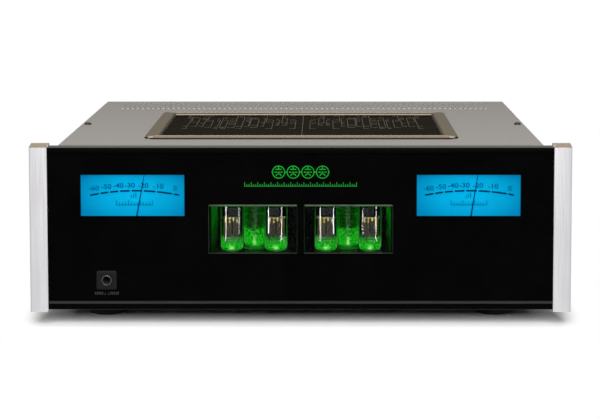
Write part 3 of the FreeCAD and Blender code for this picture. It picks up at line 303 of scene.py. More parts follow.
def mottled(tree, grain, stretch=(1, 1, 1)):
    """Noise of one grain size in millimetres, drawn out along axes by the stretch."""
    place = add(tree, "TexCoord", output="Object")
    scale = [1 / (grain * MM * length) for length in stretch]
    spread = add(tree, "Mapping", {"Vector": place, "Scale": scale})
    return add(tree, "TexNoise", {"Vector": spread, "Scale": 1.0, "Detail": 3.0, "Roughness": 0.55})


def two_tone(tree, amount, low, high, first, last):
    """Goes from one colour to another as a value goes from low to high."""
    share = add(tree, "MapRange", [amount, low, high])
    return add(tree, "Mix", {"Factor": share, "A": first, "B": last}, "Result", data_type="RGBA")


def textured(name, first, last, grain, rough, shine=0.5, bump=0.0, stretch=(1, 1, 1), metal=0.0,
             coat=(0.0, 0.03)):
    """A surface of two near tones in a noise of one grain size, with roughness between two
    values and, where bump is given, relief of that many millimetres. The coat is a weight and
    a roughness."""
    made, tree, shader = new_material(name)
    noise = mottled(tree, grain, stretch)
    feed(shader, {
        "Base Color": two_tone(tree, noise, 0.32, 0.68, first, last), "Metallic": metal,
        "Roughness": add(tree, "MapRange", [noise, 0.3, 0.7, *rough]), "Specular IOR Level": shine,
        "Coat Weight": coat[0], "Coat Roughness": coat[1],
    })
    if bump:
        relief = {"Height": noise, "Distance": bump * MM, "Strength": 1.0}
        feed(shader, {"Normal": add(tree, "Bump", relief)})
    return made


# Trims: extruded aluminium, black anodised: near black from the front, a painted grey sheen at a
# slant.
black_anodised = textured("black_anodised_aluminium", "010101", "020202", 1.5, (0.34, 0.44),
                          shine=0.008, stretch=(50, 1, 1))
# Painted sheen: the upper bar's top face is paler, as if catching light.
trim_top_painted_sheen = textured("black_anodised_upper_face_painted_sheen", "211F1A", "292721", 0.9, (0.4, 0.5),
                         shine=0.1, stretch=(20, 1, 1))
# Painted highlight: the lower bar's broken edges are paler, as if catching light.
trim_edge_painted_highlight = textured("black_anodised_broken_edge_painted_highlight", "141413", "1C1C1B", 0.9, (0.4, 0.5),
                     shine=0.05, stretch=(20, 1, 1))
# Front: coated glass over black print, so it takes hardly any reflection seen straight on.
black_glass = textured("black_printed_coated_glass", "010101", "020202", 24.0, (0.05, 0.07),
                       shine=0.0, coat=(0.02, 0.02))
# Cover: steel sheet in fine textured titanium grey paint, a dull warm grey with a tiny sparkle.
titanium_paint = textured("fine_textured_titanium_paint", "888480", "948F8A", 1.4, (0.62, 0.72),
                          shine=0.12, bump=0.02)
# Frame round the display plate: satin anodised, brushed along each side, in lit and shaded copies of
# one finish: painted light on the front and rear runs, painted shade on the side runs and deeper
# painted shade on the side runs' inner slopes.
frame_painted_light = textured("satin_frame_brushed_across_painted_light", "827A6D", "8F877A", 0.9, (0.45, 0.55),
                        shine=0.06, stretch=(40, 1, 1))
frame_painted_shade = textured("satin_frame_brushed_along_painted_shade", "564D3E", "605747", 0.9, (0.5, 0.6),
                      shine=0.03, stretch=(1, 40, 1))
frame_painted_deep_shade = textured("satin_frame_inner_slope_painted_shade", "3E372B", "4A4234", 0.9, (0.5, 0.6), shine=0.03)
# Gasket under the frame and groove inside it: black, a painted shadow at the frame's foot and
# painted shade in the groove.
gasket_painted_shadow = textured("frame_gasket_painted_shadow", "1C1812", "262118", 1.5, (0.7, 0.8), shine=0.0)
# Display plate: polished black glass with a faint warm cast, and printed lines in dull gold ink.
display_black = textured("polished_black_display_glass", "1C170F", "201B12", 30.0, (0.06, 0.1),
                         shine=0.0, coat=(0.012, 0.03))
gold_ink = textured("dull_gold_ink", "363022", "4C4430", 7.0, (0.5, 0.6), shine=0.1)
# Sheet steel with matt black paint.
black_paint = textured("matt_black_paint", "0B0B0B", "151514", 1.2, (0.6, 0.75), bump=0.03)
# Black moulded plastic, spark eroded tool: even fine grain.
black_plastic = textured("black_moulded_plastic", "1A191A", "262526", 0.8, (0.36, 0.5), bump=0.015)
# Bezel of the jack: the same plastic with a deep matt grain, darker than the glass's rim.
bezel_black = textured("matt_bezel_plastic", "050505", "080809", 0.8, (0.4, 0.5), shine=0.06,
                       bump=0.01)
# Rubber of the feet: matt, a little dusty.
foot_rubber = textured("matt_black_rubber", "0A0A0A", "171716", 1.6, (0.7, 0.85), shine=0.3,
                       bump=0.02)
# Screws: black oxide steel, oily sheen.
black_oxide = textured("black_oxide_steel", "1C1B1A", "2C2B29", 0.6, (0.3, 0.42), metal=0.8)
# Shield, control sockets, latches, rods and small screws: bright nickel plate on steel; the
# jack's bush has a dark one.
nickel = textured("nickel_plated_steel", "B9B7B2", "C9C7C3", 1.2, (0.22, 0.34), metal=1.0)
nickel_dark = textured("dark_nickel_ring", "1C1B1C", "2A292B", 1.0, (0.16, 0.26), metal=0.9)
# Bare steel, zinc plated, slightly cloudy.
zinc = textured("zinc_plated_steel", "9C9E9F", "B4B6B7", 5.0, (0.3, 0.5), metal=1.0)
# Contacts: gold plated brass, warm and fairly sharp in its reflections.
gold = textured("gold_plated_brass", "D2A24A", "E0B45C", 1.0, (0.16, 0.28), metal=1.0)
# Boards: green solder mask, half gloss, and the white one of the lamps.
circuit_board = textured("green_solder_mask", "0E3A20", "15502C", 3.0, (0.3, 0.45))
lamp_board = textured("white_solder_mask", "C4CCC6", "D6DDD8", 3.0, (0.4, 0.5))
# Sleeves of the filter cans: shrunk film, dark blue and glossy.
can_sleeve = textured("dark_blue_shrink_sleeve", "11152B", "1A2040", 6.0, (0.25, 0.35))
# Relay cases: moulded nylon, off-white.
relay_case = textured("pale_moulded_relay_case", "BFBFB6", "CCCCC4", 2.0, (0.35, 0.45))
# Needle: black lacquered aluminium, coloured dark blue as painted light from the lit dial behind it.
needle_painted_dial_light = textured("needle_lacquer_painted_dial_light", "002650", "002C5A", 2.0, (0.5, 0.6), shine=0.0)
# Insulating rings of the jacks: moulded plastic, white for the left channel, red for the right.
white_insulator = textured("white_insulator", "D5D3CC", "E2E0DA", 1.0, (0.35, 0.45))
red_insulator = textured("red_insulator", "8E1512", "A21B16", 1.0, (0.35, 0.45))
# End caps: extruded aluminium, brushed along its length and clear anodised, which draws out faint
# upright streaks; their sawn ends are duller, with painted shade in a darker warm tone.
cap_metal = textured("brushed_clear_anodised_aluminium", "BFBDC0", "C5C4C6", 0.7, (0.22, 0.26),
                     stretch=(1, 1, 60), metal=1.0)
cap_end_painted_shade = textured("sawn_aluminium_end_painted_shade", "847564", "978A78", 0.8, (0.5, 0.6), shine=0.03)
# Small print in grey on the black glass: screen ink, flat.
grey_print = textured("grey_screen_print", "202021", "2A2A2B", 2.0, (0.5, 0.6), shine=0.1)
# Print on the tubes: gold ink, satin.
gold_print = textured("gold_tube_print", "A08C4C", "B8A45C", 1.5, (0.5, 0.6), shine=0.05)
# Getter: the black mirror inside the dome of every tube.
getter_mirror = textured("getter_mirror", "010101", "020202", 3.0, (0.3, 0.4), shine=0.0)


def lit(name, first, last, grain, strength=1.0, base="020402"):
    """Something that gives light, uneven in a noise of one grain size: a lamp's own light, and
    painted light where no lamp is, as on the window rims.
    """
    made, tree, shader = new_material(name)
    feed(shader, {
        "Base Color": base, "Roughness": 0.5, "Specular IOR Level": 0.0,
        "Emission Color": two_tone(tree, mottled(tree, grain), 0.35, 0.65, first, last),
        "Emission Strength": strength,
    })
    return made


def split_place(tree):
    """Object coordinates split into X, Y and Z, in metres."""
    return add(tree, "SeparateXYZ", [add(tree, "TexCoord", output="Object")]).node.outputs


def product(tree, *values):
    """Product of several links or numbers."""
    total = values[0]
    for value in values[1:]:
        total = add(tree, "Math", [total, value], operation="MULTIPLY")
    return total


def apart(tree, value, *middles):
    """Distance from a middle in millimetres; with several, each is folded about the one before."""
    for middle in middles:
        value = add(tree, "Math", [value, middle * MM], operation="SUBTRACT")
        value = add(tree, "Math", [value], operation="ABSOLUTE")
    return value


def off_axis(tree, x, front):
    """Distance across, in metres, from the axis of the nearest front tube or rear tube."""
    aside = add(tree, "Math", [x], operation="ABSOLUTE")
    return apart(tree, aside, BAY_MIDDLE, TUBE_ASIDE) if front else apart(tree, aside, BAY_MIDDLE)


def lit_dial():
    """Translucent dial lit from behind: light blue in the middle and deeper towards the rim.
    The share of the deep blue grows with the squares of the distances from the lit area's
    middle, across and upwards."""
    made, tree, shader = new_material("blue_lit_dial")
    x, _, z = split_place(tree)
    aside = add(tree, "Math", [x], operation="ABSOLUTE")
    squares = []
    for value, middle, reach in ((aside, METER_X, 42.7), (z, 110.5, 16.8)):
        away = add(tree, "Math", [value, middle * MM], operation="SUBTRACT")
        share = add(tree, "Math", [away, reach * MM], operation="DIVIDE")
        squares.append(product(tree, share, share))
    both = add(tree, "Math", [squares[0], product(tree, squares[1], 0.5)], operation="ADD")
    feed(shader, {
        "Base Color": "003A4C", "Roughness": 0.6, "Specular IOR Level": 0.0,
        "Emission Color": two_tone(tree, both, 0.0, 1.25, "02A0D4", "006FA4"),
        "Emission Strength": add(tree, "MapRange", [mottled(tree, 9.0), 0.3, 0.7, 0.96, 1.04]),
    })
    return made


def thin_glass(name, tint, mirror):
    """Glass so thin that it bends nothing: it lets light through by a Transparent shader and
    mirrors by Fresnel, times the given share."""
    made, tree, _ = new_material(name)
    through = add(tree, "BsdfTransparent", [tint])
    gloss = add(tree, "BsdfGlossy", {"Color": "FFFFFF", "Roughness": 0.02})
    share = product(tree, add(tree, "Fresnel", {"IOR": 1.5}), mirror)
    shown(tree, add(tree, "MixShader", [share, through, gloss]))
    return made


dial_light = lit_dial()
window_glass = thin_glass("coated_clear_window", "FAFCFB", 0.02)
bulb_glass = thin_glass("blown_tube_glass", "F2F6F3", 0.3)
# Inks of the dial: dark blue against the light, paler for the figures.
dial_ink = lit("dial_ink_navy", "002448", "002C52", 3.0, base="000204")
dial_fine_ink = lit("dial_ink_figures", "004C80", "005488", 3.0, base="000204")
# The lit mark: green light through clear places in the print.
green_mark = lit("green_lit_mark", "14962A", "1CAE36", 4.0, base="0A3010")
green_rule = lit("green_lit_rule", "127A26", "178A2D", 4.0, base="0A3010")
# Rims of the windows: folded sheet with painted green light, for a little of the lamps' green.
rim_painted_light = lit("rim_with_painted_green_light", "061808", "0C2810", 9.0, base="040604")
# Lamps under the tubes: bright enough to show as the palest green.
lamp_glow = lit("green_lamp_lens", "9CFF9C", "D8FFD0", 2.0, strength=2.0)


def with_painted_green_light(name, first, last, grain, rough, share, strength, shine):
    """A surface with painted green light, emission that stands in for the lamps' light falling on
    it: share(tree, x, y, z) says where, and a noise of one grain says how unevenly."""
    made, tree, shader = new_material(name)
    where = share(tree, *split_place(tree))
    noise = mottled(tree, grain)
    uneven = add(tree, "MapRange", [noise, 0.4, 0.62, 0.25, 1.0])
    feed(shader, {
        "Base Color": two_tone(tree, noise, 0.38, 0.62, first, last), "Roughness": rough,
        "Specular IOR Level": shine, "Emission Color": "06E41A",
        "Emission Strength": product(tree, where, uneven, strength),
    })
    return made


def outer_wall_painted_light(tree, x, y, z):
    """Where the bay's painted green light goes: the deep part of the outer wall, brighter with
    height, with the sheet's seam left dark.
    """
    aside = add(tree, "MapRange", [add(tree, "Math", [x], operation="ABSOLUTE"), 0.0735, 0.0742])
    deep = add(tree, "MapRange", [y, -0.176, -0.168])
    rise = add(tree, "MapRange", [z, 0.058, 0.084, 0.12, 1.0])
    seam = add(tree, "MapRange", [apart(tree, z, 72.2), 0.0003, 0.0007])
    return product(tree, aside, deep, rise, seam)


def rear_painted_light(tree, x, y, z):
    """Where the sockets' painted green light goes: only what stands in the rear of the bay, between
    the front tubes.
    """
    deep = add(tree, "MapRange", [y, -0.169, -0.163])
    near = add(tree, "MapRange", [off_axis(tree, x, False), 0.006, 0.013, 1.0, 0.3])
    return product(tree, deep, near)


def low_painted_light(top):
    """Share of painted green light: full at the tubes' feet, none at the top level in millimetres.
    """
    return lambda tree, x, y, z: add(tree, "MapRange", [z, 0.060, top * MM, 1.0, 0.0])


# Bays: sheet in black nickel, dark but for painted green light on the outer walls.
bay_metal = with_painted_green_light("bay_black_nickel_painted_green_light", "030403", "070807", 6.0, 0.25, outer_wall_painted_light, 0.18, 0.02)
# Sockets: dark unglazed ceramic; the rear ones carry painted green light.
ceramic = with_painted_green_light("dark_ceramic_painted_green_light", "040504", "080908", 1.6, 0.6, rear_painted_light, 0.2, 0.02)
# Plates of the tubes: brown-grey carbonised nickel in dark and pale patches, with painted green
# light at their feet, between dark mica sheets that carry painted green light low down.
plate_metal = with_painted_green_light("carbonised_nickel_plates_painted_green_light", "100C08", "5A4430", 1.5, 0.5, low_painted_light(74),
                             0.25, 0.1)
mica_sheet = with_painted_green_light("mica_spacers_painted_green_light", "0A0A08", "14140F", 2.0, 0.4, low_painted_light(76), 0.5, 0.15)
# Glass stems, painted with the lamps' light as emission.
stem_painted_light = with_painted_green_light("glass_stem_painted_light", "0A3A10", "10601A", 1.6, 0.3, low_painted_light(74), 1.2, 0.1)


# What each CAD node that stays is made of; a star stands for left and for right.
CAD_COATS = {
    black_paint: ["front_subpanel", "base_pan"],
    lamp_board: ["mark_light_board", "*_meter_lamp_board"],
    black_plastic: ["headphone_jack", "*_meter_housing", "balanced_inputs", "balanced_outputs"],
    dial_light: ["*_meter_dial"],
    needle_painted_dial_light: ["*_meter_pointer"],
    zinc: ["*_meter_movement", "foot_screws", "line_board_standoffs", "tube_board_standoffs",
           "*_cover_bracket"],
    bay_metal: ["*_tube_bay"],
    circuit_board: ["*_tube_board", "*_line_board"],
    titanium_paint: ["top_cover", "rear_panel"],
    nickel: ["centre_shield", "*_outer_input_latch", "*_inner_input_latch", "control_connectors"],
    can_sleeve: ["filter_capacitors"],
    relay_case: ["input_relays"],
    gold: ["phono_jacks", "ground_posts"],
    ceramic: ["tube_sockets"],
}
for coat, names in CAD_COATS.items():
    for name in sorted({name.replace("*", side) for name in names for side in ("left", "right")}):
        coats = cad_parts[name].data.materials
        coats.clear()
        coats.append(coat)


# End caps and trims


def end_caps():
    """Each cap is one plan view, with soft front edges and the channel that holds the glass and
    the sub-panel, drawn out upwards; the upper end is sawn at a slope, so that every point of
    it lies lower by an eighth of its distance from the cap's back."""
    low, high = corners_of("right_end_cap")
    (inner, front, _), (outer, back, _) = low, high
    bottom, panel = inner + 3.0, corners_of("front_subpanel")[1][1]
    plan = [(inner, front, 1.2), (outer, front, 1.2), (outer, back, 0.3), (inner, back, 0.3),
            (inner, panel, 0), (bottom, panel, 0), (bottom, FACE, 0), (inner, FACE, 0)]
    points, faces = drawn_out(eased(plan, closed=True), low[2], high[2])
    top = points[:, 2] > low[2]
    points[top, 2] -= (back - points[top, 1]) / 8
    other_way = points * [-1, 1, 1], [sides[:, ::-1] for sides in faces]
    # The sawn ends take the duller finish that carries painted shade.
    sawn = np.repeat([0, 1, 1], [len(sides) for sides in faces])
    for side, shape in (("left", other_way), ("right", (points, faces))):
        piece(f"{side}_end_cap_bar", shape, [cap_metal, cap_end_painted_shade],
              instead_of=f"{side}_end_cap", inks=sawn)


def trim(node, outline, tone, is_pale):
    """An angle bar along the glass: a side view in (y, z), drawn out across. The long faces that
    is_pale(y, z) picks by their middles take the second tone, which carries painted sheen."""
    a_side = eased(outline, closed=True, steps=5)[:, ::-1] * [-1, 1]
    reach = corners_of(node)[1][0]
    points, faces = to_side(drawn_out(a_side, -reach, reach), 1)
    centres = points[faces[0]].mean(1)
    inks = np.r_[is_pale(centres[:, 1], centres[:, 2]), False, False]
    piece(f"{node}_bar", (points, faces), [black_anodised, tone],
          instead_of=node, inks=inks)


def trims():
    """The upper bar's top face carries a painted grey sheen. The lower bar's lip has a broad broken
    edge above and a small one below, both with a painted highlight."""
    wall = 2.1
    (_, front, bottom), (_, back, top) = corners_of("top_trim")
    upper = [(front, bottom, 0.3), (FACE, bottom, 0), (FACE, top - wall, 0),
             (back, top - wall, 0), (back, top, 0), (front, top, 0.8)]
    trim("top_trim", upper, trim_top_painted_sheen, lambda y, z: z > top - 0.2)
    (_, front, low), (_, back, high) = corners_of("bottom_trim")
    lower = [(front, low, 0.9), (back, low, 0), (back, low + wall, 0), (FACE, low + wall, 0),
             (FACE, high, 0), (front + 1.2, high, 0.2), (front, high - 1.8, 0.2)]
    trim("bottom_trim", lower, trim_edge_painted_highlight,
         lambda y, z: (y < FACE - 0.2) & ((z > high - 1.75) | (z < low + 0.7)))


end_caps()
trims()


# Front glass with its clear windows


def front_pane():
    """One closed slab cut into cells by the edges of its windows: a cell is printed, clear, or
    open for the jack, and walls stand wherever glass meets no glass."""
    low, high = corners_of("front_glass")
    hole = 4.5
    x_lines = [low[0], JACK[0] - hole, JACK[0] + hole, high[0]]
    for side in (-1, 1):
        x_lines += [side * TUBE_X[0], side * TUBE_X[1]]
        x_lines += [side * METER_X - METER_HALF[0], side * METER_X + METER_HALF[0]]
    z_lines = [low[2], JACK[1] - hole, JACK[1] + hole, *TUBE_Z, METER_Z - METER_HALF[1],
               METER_Z + METER_HALF[1], high[2]]
    x_lines, z_lines = np.unique(x_lines), np.unique(z_lines)
    x_mid = (x_lines[:-1, None] + x_lines[1:, None]) / 2
    z_mid = (z_lines[None, :-1] + z_lines[None, 1:]) / 2
    aside = np.abs(x_mid)
    meters = (np.abs(aside - METER_X) < METER_HALF[0]) & (np.abs(z_mid - METER_Z) < METER_HALF[1])
    tubes = (aside > TUBE_X[0]) & (aside < TUBE_X[1]) & (z_mid > TUBE_Z[0]) & (z_mid < TUBE_Z[1])
    glass = (np.abs(x_mid - JACK[0]) > hole) | (np.abs(z_mid - JACK[1]) > hole)
    x_grid, z_grid = np.meshgrid(x_lines, z_lines, indexing="ij")
    points = np.concatenate([np.stack([x_grid, np.full_like(x_grid, y), z_grid], -1).reshape(-1, 3)
                             for y in (low[1], high[1])])
    behind = x_grid.size
    index = np.arange(behind).reshape(x_grid.shape)
    cells = np.stack([index[:-1, :-1], index[1:, :-1], index[1:, 1:], index[:-1, 1:]], -1)[glass]
    faces = [cells, cells[:, ::-1] + behind]
    solid = np.pad(glass, 1)
    for before, after, first, step, turn in (
        (solid[:-1, 1:-1], solid[1:, 1:-1], index[:, :-1], index[:, 1:], 1),
        (solid[1:-1, :-1], solid[1:-1, 1:], index[:-1, :], index[1:, :], -1),
    ):
        for edge, way in ((before & ~after, turn), (~before & after, -turn)):
            a, b = first[edge], step[edge]
            faces.append(np.stack([a, a + behind, b + behind, b], -1)[:, ::way])
    clear = (meters | tubes)[glass]
    walls = np.zeros(sum(len(sides) for sides in faces[2:]))
    piece("front_glass_pane", (points, faces), [black_glass, window_glass],
          instead_of="front_glass", inks=np.r_[clear, clear, walls])


front_pane()


# Meters


def figures(name, rows, y):
    """Numbers as raised type: the type is made a mesh lying flat, then stood up to face the
    front and set at its place, all numbers in one piece."""
    shapes = []
    for text, x, z in rows:
        curve = bpy.data.curves.new(name + "_type", "FONT")
        curve.body = text
        curve.size = 5.6
        curve.align_x = curve.align_y = "CENTER"
        curve.extrude = FIGURE / 2
        curve.offset = 0.11  # a little bolder than the plain type
        curve.resolution_u = 3
        holder = bpy.data.objects.new(name + "_type", curve)
        mesh = bpy.data.meshes.new_from_object(holder)
        points = np.empty(len(mesh.vertices) * 3)
        mesh.vertices.foreach_get("co", points)
        mesh.calc_loop_triangles()
        sides = np.empty(len(mesh.loop_triangles) * 3, np.int32)
        mesh.loop_triangles.foreach_get("vertices", sides)
        broad = points.reshape(-1, 3) * [1.18, 1, 1]
        shapes.append(copied(to_front((broad, [sides.reshape(-1, 3)])), [x, y, z]))
        bpy.data.objects.remove(holder)
        bpy.data.curves.remove(curve)
        bpy.data.meshes.remove(mesh)
    piece(name, joined(*shapes), dial_fine_ink)


def meter_art(side, name):
    """A broken arc with its figures, a small level sign and a plain rule in the legend's place.
    The arc is a shallow parabola that drops 3.5 mm over 35.6 mm."""
    middle = side * METER_X
    face = corners_of(f"{name}_meter_dial")[0][1]
    breaks = [-36.4, -27.8, -20.0, -11.7, -2.2, 8.0, 18.8, 32.5, 38.6]
    runs = []
    for start, end in zip(breaks[:-1], breaks[1:]):
        across = np.linspace(start + 1.4, end - 1.4, 9)
        level = 113.1 - 3.5 * ((across - 1.3) / 35.6) ** 2
        runs.append(chained(np.stack([across + middle, level], -1)))
    bars = strokes(np.concatenate(runs), 1.4, 0.0, FIGURE)
    piece(f"{name}_meter_scale", on_front(bars, face), dial_ink)
    places = [("-60", -32.6, 115.0), ("-50", -22.4, 116.3), ("-40", -12.4, 117.2),
              ("-30", -3.0, 117.4), ("-20", 8.2, 117.2), ("-10", 20.6, 116.6), ("0", 34.6, 114.8)]
    figures(f"{name}_meter_figures", [(text, middle + x, z) for text, x, z in places],
            face - FIGURE / 2)

    start, end, foot = -14.0, 15.5, 101.2
    tall = np.where(np.arange(13) % 4 == 0, 3.4, 1.9)
    ticks = uprights(np.linspace(start, end, 13), foot, tall)
    sign = uprights(np.array([-1.6, 0.2, 2.0]), 107.6, np.array([1.4, 2.6, 3.6]))
    lines = np.concatenate([[[[start, foot], [end, foot]]], ticks, sign]) + [middle, 0]
    marks = strokes(lines, 0.62, 0.0, FIGURE)
    piece(f"{name}_meter_legend", on_front(marks, face), dial_fine_ink)


meter_art(-1, "left")
meter_art(1, "right")


# Lit mark and the rule under it


def lit_mark():
    """Four generic valve signs in a row, wired in a chain: each is a ring with a plate bar on a
    stem, a row of grid dashes and a bowed cathode. Under them a rule of fine ticks."""
    level, radius, raised = 129.8, 5.0, 0.1
    bars = [[[-2.2, 2.3], [2.2, 2.3]], [[0, 2.3], [0, radius]], [[-3.0, 0], [-1.9, 0]],
            [[-0.55, 0], [0.55, 0]], [[1.9, 0], [3.0, 0]]]
    sign = np.concatenate([chained(arc(0, 0, radius, 0, 360, 33)), bars,
                           chained(arc(0, -3.6, 2.2, 25, 155, 9))])
    signs = [sign + [x, level] for x in (-18.0, -6.0, 6.0, 18.0)]
    wires = [[-23.4, -23.0], [-13.0, -11.0], [-1.0, 1.0], [11.0, 13.0], [23.0, 23.4]]
    signs.append([[[start, level], [end, level]] for start, end in wires])
    bars = strokes(np.concatenate(signs), 0.75, 0.0, raised)
    piece("lit_mark", on_front(bars, FACE), green_mark)

    reach, foot = 45.9, 118.6
    tall = np.where(np.arange(52) % 3 == 0, 2.6, 1.1)
    ticks = uprights(np.linspace(-reach, reach, 52), foot, tall)
    rule = [[[-reach, foot - 0.4], [reach, foot - 0.4]]]
    bars = strokes(np.concatenate([ticks, rule]), 0.55, 0.0, raised)
    piece("lit_rule", on_front(bars, FACE), green_rule)


lit_mark()


# Headphone jack


def jack_bezel():
    """A soft-edged square plate whose middle falls off in round steps to the jack's hole: each
    point of the plate's inner ring is drawn in along its own angle. In the hole a raised ring."""
    low, high = corners_of("headphone_bezel")
    half, deep = (high - low) / 2, high[1] - low[1]
    edge = eased([(0, 0, 0), (0, deep, 0.5), (3.0, deep, 0)])
    points, _ = lofted(half[0], half[2], 1.6, edge, steps=6)
    count = 4 * 6
    angle = np.arctan2(points[-count:, 1], points[-count:, 0])
    circle = np.stack([np.cos(angle), np.sin(angle)], -1)
    levels = [(6.2, deep), (5.6, deep - 0.5), (5.0, deep - 0.5), (4.5, deep - 0.1), (4.4, 0.0)]
    rows = [points, *(np.c_[circle * radius, np.full(count, height)] for radius, height in levels),
            points[:count]]
    points = np.vstack(rows)
    shape = (points, [grid_faces(len(points) // count, count)])
    piece("headphone_bezel_plate", copied(to_front(shape), [JACK[0], high[1], JACK[1]]),
          bezel_black, instead_of="headphone_bezel")
    bush = to_front(flat_ring(3.3, 4.15, 0.2, 1.75, 0.4, 0.25, steps=6, count=40))
    piece("headphone_bush_ring", copied(bush, [JACK[0], high[1] + 0.1, JACK[1]]), nickel_dark)


def headphone_sign():
    """A small headphone between two rows of dashes, in the place of a label."""
    band = strokes(chained(arc(0, -0.3, 1.5, 0, 180, 13)), 0.45, 0.0, FIGURE)
    cups = uprights(np.array([-1.5, 1.5]), -1.2, 0.6)
    beside = np.arange(3.4, 9.5, 1.5)
    dashes = uprights(np.r_[-beside[::-1], beside], -0.9, 1.7)
    thick = strokes(np.concatenate([cups, dashes]), 0.6, 0.0, FIGURE)
    sign = copied(on_front(joined(band, thick), FACE), [JACK[0], 0, 29.4])
    piece("headphone_sign", sign, grey_print)


jack_bezel()
headphone_sign()


# Tubes


def tube_glass():
    """Blown glass: straight sides, a round shoulder at the base, a dome and a drawn-out tip,
    turned round the tube's axis, with the wall given inwards."""
    outline = eased([(0, 0, 0), (8.4, 0, 2.2), (10.1, 3.2, 2.2), (10.1, 40.0, 3.5), (5.4, 44.0, 3.2),
                     (2.4, 44.2, 0.7), (1.9, 46.4, 1.4), (0, 48.5, 0)], steps=9)
    item = piece("tube_glass", on_tubes(turned(outline, 56)), bulb_glass,
                 instead_of="tube_envelopes", sharp=80)
    wall = item.modifiers.new("glass wall", "SOLIDIFY")
    wall.thickness = 0.9 * MM
    wall.offset = -1.0


def tube_anodes():
    """Two boxes with round corners side by side, with a thin wing to both sides of each and two
    ribs on each front."""
    low, high = 12.0, 27.0
    boxes = copied(drawn_out(round_ring(3.1, 3.6, 1.1, 5), low, high), [[-3.9, 0, 0], [3.9, 0, 0]])
    wings = strokes([[[-6.9, 0], [-0.9, 0]], [[0.9, 0], [6.9, 0]]], 0.6, low + 0.6, high - 0.6)
    rib = strokes([[[-5.15, -3.75], [-2.55, -3.75]], [[2.55, -3.75], [5.15, -3.75]]], 0.5, 0.0, 0.8)
    ribs = copied(rib, [[0, 0, low + 4.6], [0, 0, low + 9.6]])
    piece("tube_anodes", on_tubes(joined(boxes, wings, ribs)), plate_metal,
          instead_of="tube_electrodes")


def tube_insides():
    """Two toothed mica discs, grid and support rods, a getter ring on a post under the black mirror
    of the dome, and the glass stem with painted light and its lamp at the base."""
    turn = np.linspace(0, 2 * np.pi, 72, endpoint=False)
    tooth = np.where(np.arange(72) % 4 < 2, 8.75, 8.15)
    disc = np.stack([np.cos(turn) * tooth, np.sin(turn) * tooth], -1)
    micas = joined(drawn_out(disc, 10.6, 11.1), drawn_out(disc, 27.6, 28.1))
    piece("tube_micas", on_tubes(micas), mica_sheet)

    rod = turned([(0, 3.0), (0.4, 3.0), (0.4, 30.5), (0, 30.5)], 8)
    rods = copied(rod, [[x, y, 0] for x in (-6.6, -3.9, -1.4, 1.4, 3.9, 6.6) for y in (-2.4, 2.4)])
    post = copied(turned([(0, 28.0), (0.35, 28.0), (0.35, 36.5), (0, 36.5)], 8), [0, -4.4, 0])
    cross = np.linspace(0, 2 * np.pi, 9)
    getter = turned(np.stack([4.2 + 0.5 * np.cos(cross), 36.5 + 0.5 * np.sin(cross)], -1), 40)
    piece("tube_rods_and_getters", on_tubes(joined(rods, post, getter)), nickel)

    mirror = [(9.0, 29.6, 0), (9.0, 39.6, 2.8), (5.0, 42.8, 2.6), (0, 43.2, 0), (0, 42.9, 0),
              (4.9, 42.5, 2.6), (8.7, 39.5, 2.8), (8.7, 29.6, 0), (9.0, 29.6, 0)]
    stem = [(0, 1.0, 0), (8.0, 1.0, 1.4), (8.9, 3.4, 1.2), (8.6, 5.0, 1.0), (5.2, 5.6, 1.0),
            (3.2, 8.4, 1.2), (0, 9.2, 0)]
    lens = [(0, 1.3, 0), (2.2, 1.3, 0.3), (2.2, 2.8, 0.8), (1.2, 4.2, 0.8), (0, 4.4, 0)]
    for name, outline, steps, count, coat, slot in (
        ("tube_getter_mirrors", mirror, 7, 40, getter_mirror, "electrode_metal"),
        ("tube_stems", stem, 5, 36, stem_painted_light, "tube_glass"),
        ("green_lamps", lens, 5, 20, lamp_glow, "light_board"),
    ):
        piece(name, on_tubes(turned(eased(outline, steps=steps), count)), coat)


def tube_print():
    """A row of four gold signs round the front of each front tube, made of upright and level
    bars: each bar's foot is a thin slice of a ring, its across measure taken as an angle."""
    foot, half = 25.2, 3.0
    bars = []
    for degrees, low, high in ((-27, 0.0, 4.2), (-9, 0.0, 1.5), (-9, 2.7, 4.2), (9, 1.4, 4.2),
                               (27, 0.0, 2.9)):
        edge = np.radians([degrees - half, degrees + half])
        ring = np.stack([np.sin(edge), -np.cos(edge)], -1)
        slice_of_ring = np.vstack([ring * 10.2, ring[::-1] * 10.06])
        bars.append(drawn_out(slice_of_ring, foot + low, foot + high))
    piece("tube_print", on_tubes(joined(*bars), FRONT_TUBES), gold_print)


